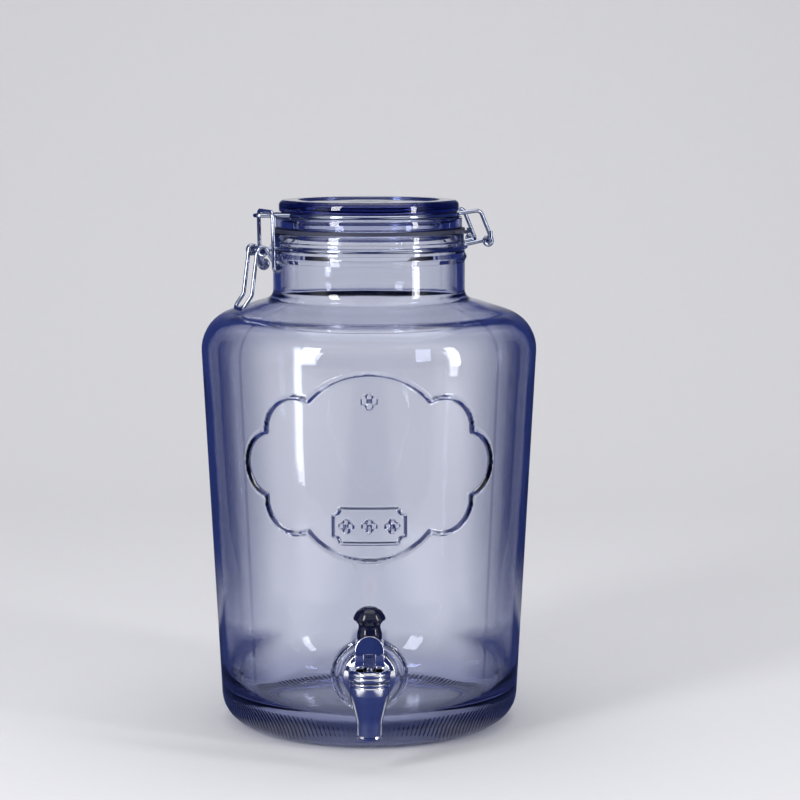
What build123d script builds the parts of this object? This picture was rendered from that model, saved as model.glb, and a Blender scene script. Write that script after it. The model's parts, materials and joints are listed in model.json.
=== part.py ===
"""Clip-top glass drinks dispenser with a tap, modelled piece by piece.

The origin is the middle of the base, +Z is up and the tap faces -Y.
The clip that holds the lid lies in a plane turned about Z: its clasp is at the
left and slightly in front, its hinge at the right and slightly behind.
"""

from build123d import *
from math import acos, atan2, cos, hypot, radians, sin, sqrt
import os

os.makedirs("parts", exist_ok=True)

# ---------------------------------------------------------------- glass jar
rim_height = 310.0
shoulder_radius = 106.2     # where the wall's line meets the shoulder's line
neck_radius = 60.3
wall_taper = 13.0           # how much narrower the wall's line is at the table
neck_length = 40.4          # rim down to where the shoulder's line meets the neck
shoulder_drop = 14.9        # from there down to where it meets the wall's line
wall = 4.1
neck_wall = 4.8
floor_thickness = 8.0
heel_round = 18.0
shoulder_round = 25.0
neck_round = 6.0
floor_round = 30.0          # inside corner between floor and wall
push_up = 3.2               # how far the underside is raised in the middle
bearing_inset = 25.2        # inner edge of the bearing ring, from the wall's line
bearing_slope = 8.0         # width of the slope up to the raised underside
bearing_round = 5.0
seat_step = 1.1             # wider top of the bore, where the lid's plug sits
seat_depth = 9.0
seat_round = 0.6
bead_drop = 15.4            # bead round the neck, below the rim
bead_swell = 1.3
bead_sunk = 1.2             # middle of the bead's round, inside the neck
rim_step = 0.7              # rim slightly narrower than the neck
rim_band = 5.0
rim_band_run = 1.0
rim_band_round = 2.0
rim_round = 1.3

# ---------------------------------------------------------------- lid
gasket_thickness = 2.2
gasket_proud = 0.6          # gasket beyond the rim
plug_clearance = 1.8        # lid plug to the jar's seat, all round
plug_length = 6.5
plug_round = 1.5
flange_inset = 1.2          # flange inside the rim's outline
flange_thickness = 7.6
flange_round = 1.5
disc_inset = 2.0            # top disc inside the flange's outline
disc_height = 10.2
disc_round = 3.0
lid_roof = 9.0              # glass above the hollow
lid_rim_wall = 8.5          # glass round the hollow
hollow_round = 6.0
dish_inset = 11.4           # flat rim round the dished top
dish_slope = 2.0
dish_depth = 1.2
dish_round = 1.0
tab_width = 11.0
tab_reach = 7.0             # how far the gasket's pull tab stands out
tab_thickness = 1.8
tab_corner = 4.0
tab_turn = -25.0            # where it stands, in degrees from +X

# ---------------------------------------------------------------- wire clip
clip_turn = 199.0           # direction of the clasp, in degrees from +X
wire_radius = 1.25
wire_inner = 0.75           # inside radius of the wire's usual bend
eye_clearance = 0.08        # running fit of a wire eye on a wire
turn_press = 0.1            # turns of one coil run into each other by this much
end_gap = 0.3               # wire end beyond the coil that it carries
side_gap = 0.9              # link's eye to the lever's coil
stub_proud = 0.7            # lever's stub beyond the link's eye
bar_press = 0.05            # link bar above the nose that it holds
wire_sunk = 0.2             # lid wire's middle line inside the top disc's outline
neck_wire_drop = 9.2        # below the rim
neck_wire_proud = 0.6       # middle line outside the neck's surface
lever_pivot_out = 12.1      # from the ring round the neck
lever_pivot_drop = 1.3
lever_arm_in = 8.8          # from the lever's pivot to the link's pivot
lever_arm_down = 9.5
coil_start = 9.2            # middle of the lever coil's inner turn, from the clip's middle
handle_end_out = 12.2       # from the lever's pivot to the handle's end
handle_rest = 2.4           # handle's end above the shoulder's line
handle_bend_out = 6.2
handle_straight = 0.76      # share of the handle's drop above its bend
handle_bend_inner = 3.75
handle_corner_inner = 2.75
arm_inner = 0.35
link_lean = 3.2             # link's top bar, further out than its pivot
link_inner = 2.35
nose_out = 7.0              # tip of the lid wire's nose, beyond the lever's pivot
nose_inset = 3.0            # nose's foot inside the link's legs
nose_inner = 3.25
hinge_out = 13.6            # from the ring round the neck
hinge_rise = 2.7            # above the ring round the neck
hinge_leg = 8.0             # neck wire's hinge legs, from the clip's middle
hinge_spread = 7.0          # from a leg to the hinge eye beside it
hinge_end_gap = 1.5         # hinge eye to the turned-up end of the bar
hinge_stub = 6.5            # turned-up end of the hinge bar
bracket_in = 5.5            # where the lid wire turns down, inside the hinge
bracket_rise = 1.6
bracket_inner = 2.75

# ---------------------------------------------------------------- tap
tap_height = 48.7           # middle of the hole in the jar
shank_radius = 7.9
hole_clearance = 0.5
piece_gap = 0.1             # between separate pieces of one fixed group
slide_clearance = 0.06
washer_thickness = 2.0
washer_width = 7.1
boss_rise = 1.9             # moulded ring round the hole, from the wall
boss_width = 5.8            # beyond the chrome flange
boss_ring_width = 3.0
boss_dish = 0.8
boss_round = 1.5
pad_rise = 2.2              # flat pad inside the wall
pad_width = 3.0             # beyond the washer
nut_thickness = 6.0
nut_wall = 4.6              # shank to a flat of the back nut
shank_tail = 5.0            # shank beyond the nut
tail_round = 0.8
escutcheon_width = 8.1
escutcheon_thickness = 3.4
escutcheon_edge = 1.2
collar_width = 2.7          # tap's shoulder beyond the shank
collar_thickness = 4.0
collar_round = 1.5
tube_step = 2.3             # tube narrower than the shank
tube_wall = 1.9
tube_round = 2.5
tube_run = 3.0              # from the shoulder down to the tube
barrel_gap = 23.5           # barrel's outside to the boss's face
stem_radius = 2.5
spring_wire = 0.4           # radius
spring_turns = 4
spring_room = 1.7           # spring's inside to the stem
cavity_room = 1.2           # spring's outside to its cavity
cavity_wall = 1.7
chamber_wall = 3.9
seat_cup_clearance = 0.9
seat_cup_thickness = 2.8
seat_width = 1.7            # valve seat under the cup
seat_gap = 0.05
tube_cover = 0.1            # barrel's top above the tube's
nozzle_wall = 2.3
nozzle_length = 15.0
nozzle_round = 5.0
barrel_foot_rise = 2.4      # where the barrel starts to narrow, above the tube's underside
taper_length = 10.5
lift_room = 0.95            # seat cup to the bonnet nut when fully open
cap_spigot_depth = 2.0
cap_seal_thickness = 1.0
cap_proud = 0.6
cap_height = 6.2
cap_roof = 2.8
cap_round = 1.0
ring_width = 1.4            # rubber ring on the stem
ring_thickness = 1.3
spring_washer_thickness = 0.8
carrier_thickness = 1.0     # stem's disc under the seat cup
valve_lift = 5.0
lever_turn = 75.0           # tap lever, closed to open
pin_radius = 1.5
pin_proud = 0.5             # pin's end beyond the yoke
pin_rise = 6.8              # pin above the bonnet nut's top
cam_gap = 0.25
cam_steps = 10
head_wall = 2.0             # stem's head round the pin
head_shoulder = 0.5         # stem's head beyond the stem
head_rise = 1.2             # stem's head above the bonnet nut
yoke_cheek = 5.2
yoke_slot_gap = 0.3
yoke_slot_room = 0.6        # stem's head to the slot's end
yoke_front = 9.0
yoke_back = 7.0
yoke_rise = 14.6
yoke_chamfer = 1.5
stub_radius = 2.9
stub_length = 7.5
stub_root = 1.0
knob_wall = 3.4
knob_cap = 3.1              # cap beyond the waist
knob_height = 15.8
knob_foot = 3.2
knob_flare = 4.6
knob_band = 4.0


# ---------------------------------------------------------------- worked-out sizes
neck_foot_height = rim_height - neck_length
shoulder_height = neck_foot_height - shoulder_drop
base_radius = shoulder_radius - wall_taper
bearing_inner_radius = base_radius - bearing_inset
rim_radius = neck_radius - rim_step
mouth_radius = neck_radius - neck_wall
seat_radius = mouth_radius + seat_step
bead_height = rim_height - bead_drop
wall_slope = wall_taper / shoulder_height
shoulder_slope = shoulder_drop / (shoulder_radius - neck_radius)

gasket_top = rim_height + gasket_thickness
plug_radius = seat_radius - plug_clearance
flange_radius = rim_radius - flange_inset
flange_top = gasket_top + flange_thickness
disc_radius = flange_radius - disc_inset
lid_height = flange_top + disc_height
dish_radius = disc_radius - dish_inset

groove_radius = wire_radius + piece_gap
wire_bend = wire_radius + wire_inner
handle_bend = wire_radius + handle_bend_inner
handle_corner = wire_radius + handle_corner_inner
arm_bend = wire_radius + arm_inner
link_corner = wire_radius + link_inner
nose_round = wire_radius + nose_inner
bracket_bend = wire_radius + bracket_inner
lid_wire_height = flange_top + groove_radius
lid_wire_ring = disc_radius - wire_sunk
neck_wire_height = rim_height - neck_wire_drop
neck_wire_ring = neck_radius + neck_wire_proud
eye_ring = 2 * wire_radius + eye_clearance
coil_end = coil_start + 2 * wire_radius - turn_press
stub_end = coil_end + wire_radius + end_gap
pivot_leg = coil_start - eye_ring - 2 * wire_radius
link_half_width = coil_end + 2 * wire_radius + side_gap
link_bar_height = lid_wire_height + 2 * wire_radius + bar_press
lever_pivot = (neck_wire_ring + lever_pivot_out, neck_wire_height - lever_pivot_drop)
link_pivot = (lever_pivot[0] - lever_arm_in, lever_pivot[1] - lever_arm_down)
handle_end_reach = lever_pivot[0] + handle_end_out
shoulder_under_handle = neck_foot_height - shoulder_slope * (handle_end_reach - neck_radius)
handle_end_height = shoulder_under_handle + handle_rest
handle_bend_height = lever_pivot[1] - handle_straight * (lever_pivot[1] - handle_end_height)
nose_reach = lever_pivot[0] + nose_out
nose_half_width = link_half_width - nose_inset
hinge_pivot = (-neck_wire_ring - hinge_out, neck_wire_height + hinge_rise)
hinge_eye = hinge_leg + hinge_spread
hinge_bar_end = hinge_eye + 2 * wire_radius + hinge_end_gap

wall_at_tap = base_radius + wall_slope * tap_height
boss_reach = wall_at_tap + boss_rise
pad_reach = wall_at_tap - wall - pad_rise
hole_radius = shank_radius + hole_clearance
shank_fit = shank_radius + piece_gap
washer_radius = shank_radius + washer_width
pad_radius = washer_radius + pad_width
washer_reach = boss_reach - boss_dish
escutcheon_reach = washer_reach + washer_thickness
collar_reach = escutcheon_reach + escutcheon_thickness
tube_reach = collar_reach + collar_thickness
escutcheon_radius = shank_radius + escutcheon_width
boss_radius = escutcheon_radius + boss_width
collar_radius = shank_radius + collar_width
tube_radius = shank_radius - tube_step
tap_bore_radius = tube_radius - tube_wall
nut_reach = pad_reach - washer_thickness
tail_reach = nut_reach - nut_thickness - shank_tail

spring_coil = stem_radius + spring_room + spring_wire
cap_cavity_radius = spring_coil + spring_wire + cavity_room
spigot_radius = cap_cavity_radius + cavity_wall
chamber_radius = spigot_radius + piece_gap
barrel_radius = chamber_radius + chamber_wall
seat_cup_radius = chamber_radius - seat_cup_clearance
outlet_bore_radius = seat_cup_radius - seat_width
nozzle_radius = outlet_bore_radius + nozzle_wall
cap_radius = barrel_radius + cap_proud
barrel_reach = boss_reach + barrel_gap + barrel_radius
barrel_top = tap_height + tube_radius + tube_cover
cap_foot = barrel_top - cap_spigot_depth
cup_top = cap_foot - lift_room - valve_lift
cup_bottom = cup_top - seat_cup_thickness
valve_seat_height = cup_bottom - seat_gap
barrel_foot = tap_height - tube_radius + barrel_foot_rise
nozzle_start = barrel_foot - taper_length
outlet_height = nozzle_start - nozzle_length
cap_bottom = barrel_top + cap_seal_thickness
cap_top = cap_bottom + cap_height
cap_ceiling = cap_top - cap_roof
spring_bottom = cup_top + spring_washer_thickness
stem_bore = stem_radius + slide_clearance
carrier_radius = stem_radius + ring_width
pin_height = cap_top + pin_rise
head_width = 2 * (stem_radius + head_shoulder)
head_length = 2 * (pin_radius + head_wall)
head_low = cap_top + head_rise
yoke_slot = head_width + 2 * yoke_slot_gap
yoke_width = yoke_slot + 2 * yoke_cheek
yoke_top = pin_height + yoke_rise
knob_centre = (yoke_back - yoke_front) / 2
knob_low = yoke_top + piece_gap
knob_top = yoke_top + knob_height
knob_waist_radius = stub_radius + knob_wall
knob_radius = knob_waist_radius + knob_cap


# ---------------------------------------------------------------- helpers
def turned(corners):
    """Solid turned about Z from closed outline corners (radius, z, rounding)."""
    points = [(r, 0, z) for r, z, _ in corners]
    rounds = [rounding for _, _, rounding in corners]
    outline = FilletPolyline(*points, radius=rounds, close=True)
    return revolve(make_face(outline), Axis.Z)


def tube_between(radius, inner_radius, low, high):
    """Straight ring about Z between two heights."""
    ring = Pos(0, 0, (low + high) / 2) * Cylinder(radius, high - low)
    if inner_radius:
        ring -= Pos(0, 0, (low + high) / 2) * Cylinder(inner_radius, high - low + 2)
    return ring


def along_tap(shape):
    """Turn a shape made along +Z so that it runs out along -Y through the tap hole."""
    return Pos(0, 0, tap_height) * Rot(90, 0, 0) * shape


def on_barrel(shape):
    """Move a shape made about Z onto the tap barrel's axis."""
    return Pos(0, -barrel_reach, 0) * shape


def across_pin(radius, length):
    """Cylinder along the tap lever's pin, about the barrel's axis."""
    return Pos(0, 0, pin_height) * Rot(0, 90, 0) * Cylinder(radius, length)


def in_clip(shape):
    """Turn a shape made with the clasp along +X to its place on the jar."""
    return Rot(0, 0, clip_turn) * shape


def bent_wire(points, bends):
    """Round wire along straight runs joined by tangent arcs."""
    path = FilletPolyline(*points, radius=bends) if bends else Line(*points)
    section = Plane(origin=path @ 0, z_dir=path % 0) * Circle(wire_radius)
    return sweep(section, path=path, transition=Transition.ROUND)


def wire_ring(radius, height):
    """Closed ring of wire about Z."""
    return Pos(0, 0, height) * Torus(radius, wire_radius)


def on_ring(radius, across):
    """How far out a ring about Z is, at a place across the clip."""
    return sqrt(radius**2 - across**2)


def wire_eye(pivot, across):
    """One turn of wire round a pivot that runs along Y."""
    x, z = pivot
    return Pos(x, across, z) * Rot(90, 0, 0) * Torus(eye_ring, wire_radius)


def eye_tangent(pivot, target, side):
    """Point on an eye's middle line whose tangent passes through a target point."""
    run, rise = target[0] - pivot[0], target[1] - pivot[1]
    angle = atan2(rise, run) + side * acos(eye_ring / hypot(run, rise))
    return pivot[0] + eye_ring * cos(angle), pivot[1] + eye_ring * sin(angle)


def save(name, shape):
    """Write one sub-part to parts/."""
    export_step(shape, f"parts/{name}.step")


# ---------------------------------------------------------------- jar
def jar_body():
    """Blown glass jar with a threadless neck, a tap hole and its moulded boss."""
    outer = turned([
        (0, push_up, 0),
        (bearing_inner_radius - bearing_slope, push_up, bearing_round),
        (bearing_inner_radius, 0, bearing_round),
        (base_radius, 0, heel_round),
        (shoulder_radius, shoulder_height, shoulder_round),
        (neck_radius, neck_foot_height, neck_round),
        (neck_radius, rim_height - rim_band - rim_band_run, rim_band_round),
        (rim_radius, rim_height - rim_band, rim_band_round),
        (rim_radius, rim_height, rim_round),
        (0, rim_height, 0),
    ])
    bead = Pos(0, 0, bead_height) * Torus(neck_radius - bead_sunk, bead_swell + bead_sunk)
    boss = along_tap(Pos(0, 0, boss_reach / 2) * Cylinder(boss_radius, boss_reach))
    boss = fillet(boss.edges().sort_by(Axis.Y)[0], boss_round)
    dish = tube_between(boss_radius - boss_ring_width, 0, washer_reach, boss_reach + boss_dish)
    hollow = turned([
        (0, floor_thickness, 0),
        (base_radius - wall, floor_thickness, floor_round),
        (shoulder_radius - wall, shoulder_height - wall, shoulder_round - wall),
        (mouth_radius, neck_foot_height - wall, neck_round),
        (mouth_radius, rim_height - seat_depth, seat_round),
        (seat_radius, rim_height - seat_depth, seat_round),
        (seat_radius, rim_height + 1, 0),
        (0, rim_height + 1, 0),
    ])
    pad = tube_between(pad_radius, 0, pad_reach, wall_at_tap - wall / 2)
    hole = tube_between(hole_radius, 0, tail_reach, collar_reach)
    jar = outer + bead + boss - hollow
    jar += along_tap(pad)
    jar -= along_tap(dish) + along_tap(hole)
    jar -= Pos(0, 0, neck_wire_height) * Torus(neck_wire_ring, groove_radius)
    return jar


# ---------------------------------------------------------------- lid
def lid():
    """Glass lid: plug, flange, wire groove and top disc, hollow underneath."""
    hollow_radius = plug_radius - lid_rim_wall
    body = turned([
        (0, lid_height - lid_roof, 0),
        (hollow_radius, lid_height - lid_roof, hollow_round),
        (hollow_radius, gasket_top - plug_length, plug_round),
        (plug_radius, gasket_top - plug_length, plug_round),
        (plug_radius, gasket_top, 0),
        (flange_radius, gasket_top, flange_round),
        (flange_radius, flange_top, flange_round),
        (disc_radius, flange_top, 0),
        (disc_radius, lid_height, disc_round),
        (dish_radius, lid_height, dish_round),
        (dish_radius - dish_slope, lid_height - dish_depth, dish_round),
        (0, lid_height - dish_depth, 0),
    ])
    return body - Pos(0, 0, lid_wire_height) * Torus(lid_wire_ring, groove_radius)


def gasket():
    """Rubber ring under the lid's flange, with its pull tab."""
    ring = tube_between(
        rim_radius + gasket_proud, plug_radius + piece_gap, rim_height, gasket_top)
    reach = rim_radius + tab_reach
    tab = Pos(reach / 2, 0, rim_height + gasket_thickness / 2)
    tab *= Box(reach, tab_width, tab_thickness)
    tab = fillet(tab.edges().filter_by(Axis.Z).group_by(Axis.X)[-1], tab_corner)
    tab -= tube_between(seat_radius, 0, rim_height, gasket_top)
    return ring + Rot(0, 0, tab_turn) * tab


# ---------------------------------------------------------------- wire clip
def neck_wire():
    """Wire round the neck, with the clasp's two pivots and the lid's hinge bar."""
    shape = wire_ring(neck_wire_ring, neck_wire_height)
    for side in (-1, 1):
        pivot_x, pivot_z = lever_pivot
        shape += bent_wire([
            (on_ring(neck_wire_ring, pivot_leg), side * pivot_leg, neck_wire_height),
            (pivot_x, side * pivot_leg, pivot_z),
            (pivot_x, side * stub_end, pivot_z),
        ], [wire_bend])
        hinge_x, hinge_z = hinge_pivot
        shape += bent_wire([
            (-on_ring(neck_wire_ring, hinge_leg), side * hinge_leg, neck_wire_height),
            (hinge_x, side * hinge_leg, hinge_z),
            (hinge_x, side * hinge_bar_end, hinge_z),
            (hinge_x, side * hinge_bar_end, hinge_z + hinge_stub),
        ], [wire_bend, wire_bend])
    return in_clip(shape)


def lid_wire():
    """Wire round the lid, with the nose that the clasp holds and two hinge eyes."""
    shape = wire_ring(lid_wire_ring, lid_wire_height)
    nose_x = on_ring(lid_wire_ring, nose_half_width)
    shape += bent_wire([
        (nose_x, -nose_half_width, lid_wire_height),
        (nose_reach, 0, lid_wire_height),
        (nose_x, nose_half_width, lid_wire_height),
    ], [nose_round])
    corner = (hinge_pivot[0] + bracket_in, lid_wire_height + bracket_rise)
    eye_x, eye_z = eye_tangent(hinge_pivot, corner, 1)
    for side in (-1, 1):
        across = side * hinge_eye
        shape += bent_wire([
            (-on_ring(lid_wire_ring, hinge_eye), across, lid_wire_height),
            (corner[0], across, corner[1]),
            (eye_x, across, eye_z),
        ], [bracket_bend])
        shape += wire_eye(hinge_pivot, across)
    return in_clip(shape)


def clasp_lever():
    """Wire lever: finger loop, a coil round each pivot and the two stubs of the link."""
    bend = (lever_pivot[0] + handle_bend_out, handle_bend_height)
    end = (handle_end_reach, handle_end_height)
    top_x, top_z = eye_tangent(lever_pivot, bend, 1)
    shape = bent_wire([
        (top_x, -coil_start, top_z),
        (bend[0], -coil_start, bend[1]),
        (end[0], -coil_start, end[1]),
        (end[0], coil_start, end[1]),
        (bend[0], coil_start, bend[1]),
        (top_x, coil_start, top_z),
    ], [handle_bend, handle_corner, handle_corner, handle_bend])
    arm_x, arm_z = eye_tangent(lever_pivot, link_pivot, 1)
    for side in (-1, 1):
        for across in (coil_start, coil_end):
            shape += wire_eye(lever_pivot, side * across)
        stub = side * (link_half_width + wire_radius + stub_proud)
        shape += bent_wire([
            (arm_x, side * coil_end, arm_z),
            (link_pivot[0], side * coil_end, link_pivot[1]),
            (link_pivot[0], stub, link_pivot[1]),
        ], [arm_bend])
    return in_clip(shape)


def clasp_link():
    """Wire link that the lever pulls down over the lid wire's nose."""
    bar = (link_pivot[0] + link_lean, link_bar_height)
    foot_x, foot_z = eye_tangent(link_pivot, bar, -1)
    shape = bent_wire([
        (foot_x, -link_half_width, foot_z),
        (bar[0], -link_half_width, bar[1]),
        (bar[0], link_half_width, bar[1]),
        (foot_x, link_half_width, foot_z),
    ], [link_corner, link_corner])
    for side in (-1, 1):
        shape += wire_eye(link_pivot, side * link_half_width)
    return in_clip(shape)


# ---------------------------------------------------------------- tap, fixed pieces
def outer_washer():
    """Rubber washer between the boss and the chrome flange."""
    return along_tap(tube_between(washer_radius, shank_fit, washer_reach, escutcheon_reach))


def escutcheon():
    """Chrome flange ring in front of the washer."""
    return along_tap(turned([
        (shank_fit, escutcheon_reach, 0),
        (escutcheon_radius, escutcheon_reach, 0.3),
        (escutcheon_radius, escutcheon_reach + escutcheon_edge, 0.5),
        (collar_radius + escutcheon_edge, collar_reach, 1.0),
        (shank_fit, collar_reach, 0),
    ]))


def tap_body():
    """Cast body: threaded shank, shoulder, tube, valve barrel and nozzle."""
    shank = along_tap(turned([
        (0, tail_reach, 0),
        (shank_radius, tail_reach, tail_round),
        (shank_radius, collar_reach, 0),
        (collar_radius, collar_reach, 0.4),
        (collar_radius, tube_reach, collar_round),
        (tube_radius, tube_reach + tube_run, tube_round),
        (tube_radius, barrel_reach, 0),
        (0, barrel_reach, 0),
    ]))
    barrel = on_barrel(turned([
        (0, outlet_height, 0),
        (nozzle_radius, outlet_height, 0.6),
        (nozzle_radius, nozzle_start, nozzle_round),
        (barrel_radius, barrel_foot, nozzle_round),
        (barrel_radius, barrel_top, 0.4),
        (0, barrel_top, 0),
    ]))
    chamber = on_barrel(tube_between(chamber_radius, 0, valve_seat_height, cap_bottom))
    outlet = on_barrel(tube_between(outlet_bore_radius, 0, outlet_height - 1, cup_top))
    bore = along_tap(tube_between(tap_bore_radius, 0, tail_reach - 1, barrel_reach))
    return shank + barrel - chamber - outlet - bore


def inner_washer():
    """Rubber washer on the pad inside the jar."""
    return along_tap(tube_between(washer_radius, shank_fit, nut_reach, pad_reach))


def back_nut():
    """Hexagon nut that clamps the tap from inside."""
    flats = RegularPolygon(shank_radius + nut_wall, 6, major_radius=False)
    nut = Pos(0, 0, nut_reach - nut_thickness) * extrude(flats, nut_thickness)
    return along_tap(nut - tube_between(shank_fit, 0, tail_reach, pad_reach))


def bonnet_seal():
    """Flat sealing ring between barrel and bonnet nut."""
    return on_barrel(tube_between(barrel_radius - cap_proud, chamber_radius, barrel_top, cap_bottom))


def bonnet_nut():
    """Screwed cap of the valve, with the spring's cavity and the stem's bore."""
    cap = turned([
        (0, cap_foot, 0),
        (spigot_radius, cap_foot, 0.3),
        (spigot_radius, cap_bottom, 0),
        (cap_radius, cap_bottom, 0.6),
        (cap_radius, cap_top, cap_round),
        (0, cap_top, 0),
    ])
    cap -= tube_between(cap_cavity_radius, 0, cap_foot, cap_ceiling)
    cap -= tube_between(stem_bore, 0, cap_foot, cap_top)
    cap -= tube_between(
        carrier_radius + piece_gap, 0, cap_foot, cap_ceiling + ring_thickness + piece_gap)
    return on_barrel(cap)


def stem_ring():
    """Rubber ring that seals the stem in the bonnet nut."""
    return on_barrel(tube_between(
        carrier_radius, stem_bore, cap_ceiling, cap_ceiling + ring_thickness))


# ---------------------------------------------------------------- tap, moving pieces
def valve_stem():
    """Stem with the disc that carries the seat cup and a flat head with the pin's hole."""
    foot = cup_bottom - piece_gap
    stem = tube_between(stem_radius, 0, foot - carrier_thickness, pin_height)
    stem += tube_between(carrier_radius, 0, foot - carrier_thickness, foot)
    head = Pos(0, 0, (head_low + pin_height) / 2)
    head *= Box(head_width, head_length, pin_height - head_low)
    head += across_pin(head_length / 2, head_width)
    hole = across_pin(pin_radius + slide_clearance, yoke_width)
    return on_barrel(stem + head - hole)


def seat_cup():
    """Rubber cup that closes the valve seat."""
    return on_barrel(tube_between(
        seat_cup_radius, stem_radius + piece_gap, cup_bottom, cup_top))


def spring_washer():
    """Washer between the seat cup and the return spring."""
    return on_barrel(tube_between(
        cap_cavity_radius - piece_gap, stem_radius + piece_gap, cup_top, spring_bottom))


def return_spring():
    """Coil spring that presses the seat cup down."""
    length = cap_ceiling - spring_bottom - 2 * spring_wire - piece_gap
    line = Helix(length / spring_turns, length, spring_coil)
    section = Plane(origin=line @ 0, z_dir=line % 0) * Circle(spring_wire)
    coil = sweep(section, path=line, is_frenet=True)
    return on_barrel(Pos(0, 0, spring_bottom + spring_wire) * coil)


def cam_outline():
    """Side outline of the tap lever in (y, z) from its pin; the cam lifts in step."""
    reach = pin_rise - cam_gap
    rate = valve_lift / radians(lever_turn)
    cam = []
    for step in range(cam_steps + 1):
        turn = radians(lever_turn) * step / cam_steps
        out = reach + rate * turn
        cam.append((-out * sin(turn) - rate * cos(turn), -out * cos(turn) + rate * sin(turn)))
    return cam


def tap_lever():
    """Forked lever on the stem's pin, whose cam rides on the bonnet nut."""
    cam = cam_outline()
    top = yoke_top - pin_height
    tip_y, tip_z = cam[-1]
    curve = Spline(*[(0, y, z) for y, z in cam])
    rest = Polyline(
        (0, tip_y, tip_z),
        (0, -yoke_front, top),
        (0, yoke_back, top),
        (0, yoke_back, cam[0][1] + yoke_chamfer),
        (0, yoke_back - yoke_chamfer, cam[0][1]),
        (0, *cam[0]),
    )
    side_view = make_face(curve + rest)
    body = extrude(side_view, yoke_width / 2, dir=(1, 0, 0), both=True)
    side = 2 * (yoke_rise + yoke_width)
    arch = Pos(0, 0, top - yoke_width / 2) * Rot(90, 0, 0) * Cylinder(yoke_width / 2, side)
    arch += Pos(0, 0, top - yoke_width / 2 - side / 2) * Box(yoke_width, side, side)
    body &= arch
    slot_end = head_length / 2 + yoke_slot_room
    body -= Pos(0, slot_end - side / 2, slot_end - side / 2) * Box(yoke_slot, side, side)
    stub = stub_length + stub_root
    body += Pos(0, knob_centre, top - stub_root + stub / 2) * Cylinder(stub_radius, stub)
    lever = Pos(0, 0, pin_height) * body
    return on_barrel(lever - across_pin(pin_radius + piece_gap, side))


def lever_pin():
    """Steel pin through the lever and the stem's head."""
    return on_barrel(across_pin(pin_radius, yoke_width + 2 * pin_proud))


def lever_knob():
    """Turned black knob screwed on the lever's stub."""
    waist = knob_low + knob_foot
    knob = turned([
        (0, knob_low, 0),
        (knob_waist_radius + 0.6, knob_low, 0.6),
        (knob_waist_radius, waist, 4.0),
        (knob_radius, waist + knob_flare, 2.5),
        (knob_radius, knob_top - knob_band, 2.5),
        (knob_waist_radius, knob_top, 3.0),
        (0, knob_top, 0),
    ])
    knob -= tube_between(stub_radius + piece_gap, 0, yoke_top, yoke_top + stub_length + head_shoulder)
    return on_barrel(Pos(0, knob_centre, 0) * knob)


SUB_PARTS = (
    jar_body, lid, gasket, neck_wire, lid_wire, clasp_lever, clasp_link,
    outer_washer, escutcheon, tap_body, inner_washer, back_nut, bonnet_seal, bonnet_nut,
    stem_ring, valve_stem, seat_cup, spring_washer, return_spring, tap_lever, lever_pin,
    lever_knob,
)

for make in SUB_PARTS:
    save(make.__name__, make())
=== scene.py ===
"""Looks of a clip-top glass drinks dispenser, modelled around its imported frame.

The jar, the lid and every visible fitting are modelled here with Blender's own modelling
operators; the frame's nodes that they stand for are hidden and keep the motion.
Lengths are in metres. The tap faces -Y.
"""

import json
import logging
import math
from dataclasses import dataclass, field
from enum import Enum
from typing import Callable, Iterable, Sequence

import bpy
import numpy as np
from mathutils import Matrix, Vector


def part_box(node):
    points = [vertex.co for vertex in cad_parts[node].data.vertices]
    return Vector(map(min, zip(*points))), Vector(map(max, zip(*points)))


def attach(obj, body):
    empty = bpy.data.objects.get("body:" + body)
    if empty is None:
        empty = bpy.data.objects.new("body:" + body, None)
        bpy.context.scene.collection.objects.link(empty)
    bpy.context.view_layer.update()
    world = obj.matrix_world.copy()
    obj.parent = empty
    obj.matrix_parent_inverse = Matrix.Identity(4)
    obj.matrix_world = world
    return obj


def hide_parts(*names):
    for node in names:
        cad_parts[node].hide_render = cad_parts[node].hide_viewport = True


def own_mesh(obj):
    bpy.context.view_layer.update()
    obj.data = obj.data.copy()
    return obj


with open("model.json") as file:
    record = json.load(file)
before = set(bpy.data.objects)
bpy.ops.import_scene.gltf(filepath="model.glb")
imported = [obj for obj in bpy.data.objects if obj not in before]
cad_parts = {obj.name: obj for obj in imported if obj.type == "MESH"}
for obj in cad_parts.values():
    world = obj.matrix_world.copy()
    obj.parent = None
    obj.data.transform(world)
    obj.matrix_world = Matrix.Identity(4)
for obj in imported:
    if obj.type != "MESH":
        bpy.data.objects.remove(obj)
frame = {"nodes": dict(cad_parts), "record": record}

LOG = logging.getLogger("dispenser")
MM = 0.001
SMALL_ROUNDING = 2.0  # millimetres up to which a corner's arc gets fewer pieces
MERGE_DISTANCE = 0.00002  # metres
COIL_STEP = math.radians(12)
CARD_COLOUR = (0.006, 0.020, 0.13, 1.0)
WORLD_COLOUR = (0.87, 0.87, 0.89, 1.0)
Point = tuple[float, float]
Corner = tuple[float, float, float]
Colour = tuple[float, float, float, float]


MODELLED = (
    "jar_body", "lid", "outer_washer", "escutcheon", "tap_body", "bonnet_nut", "tap_lever",
    "lever_pin", "lever_knob", "neck_wire", "lid_wire", "clasp_lever", "clasp_link", "return_spring",
)


class Slot(Enum):
    """The record's material slots."""

    JAR = "jar_glass"
    LID = "lid_glass"
    RUBBER = "dark_rubber"
    WIRE = "clip_wire"
    CHROME = "tap_chrome"
    STEEL = "inner_steel"
    KNOB = "black_knob"


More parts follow.
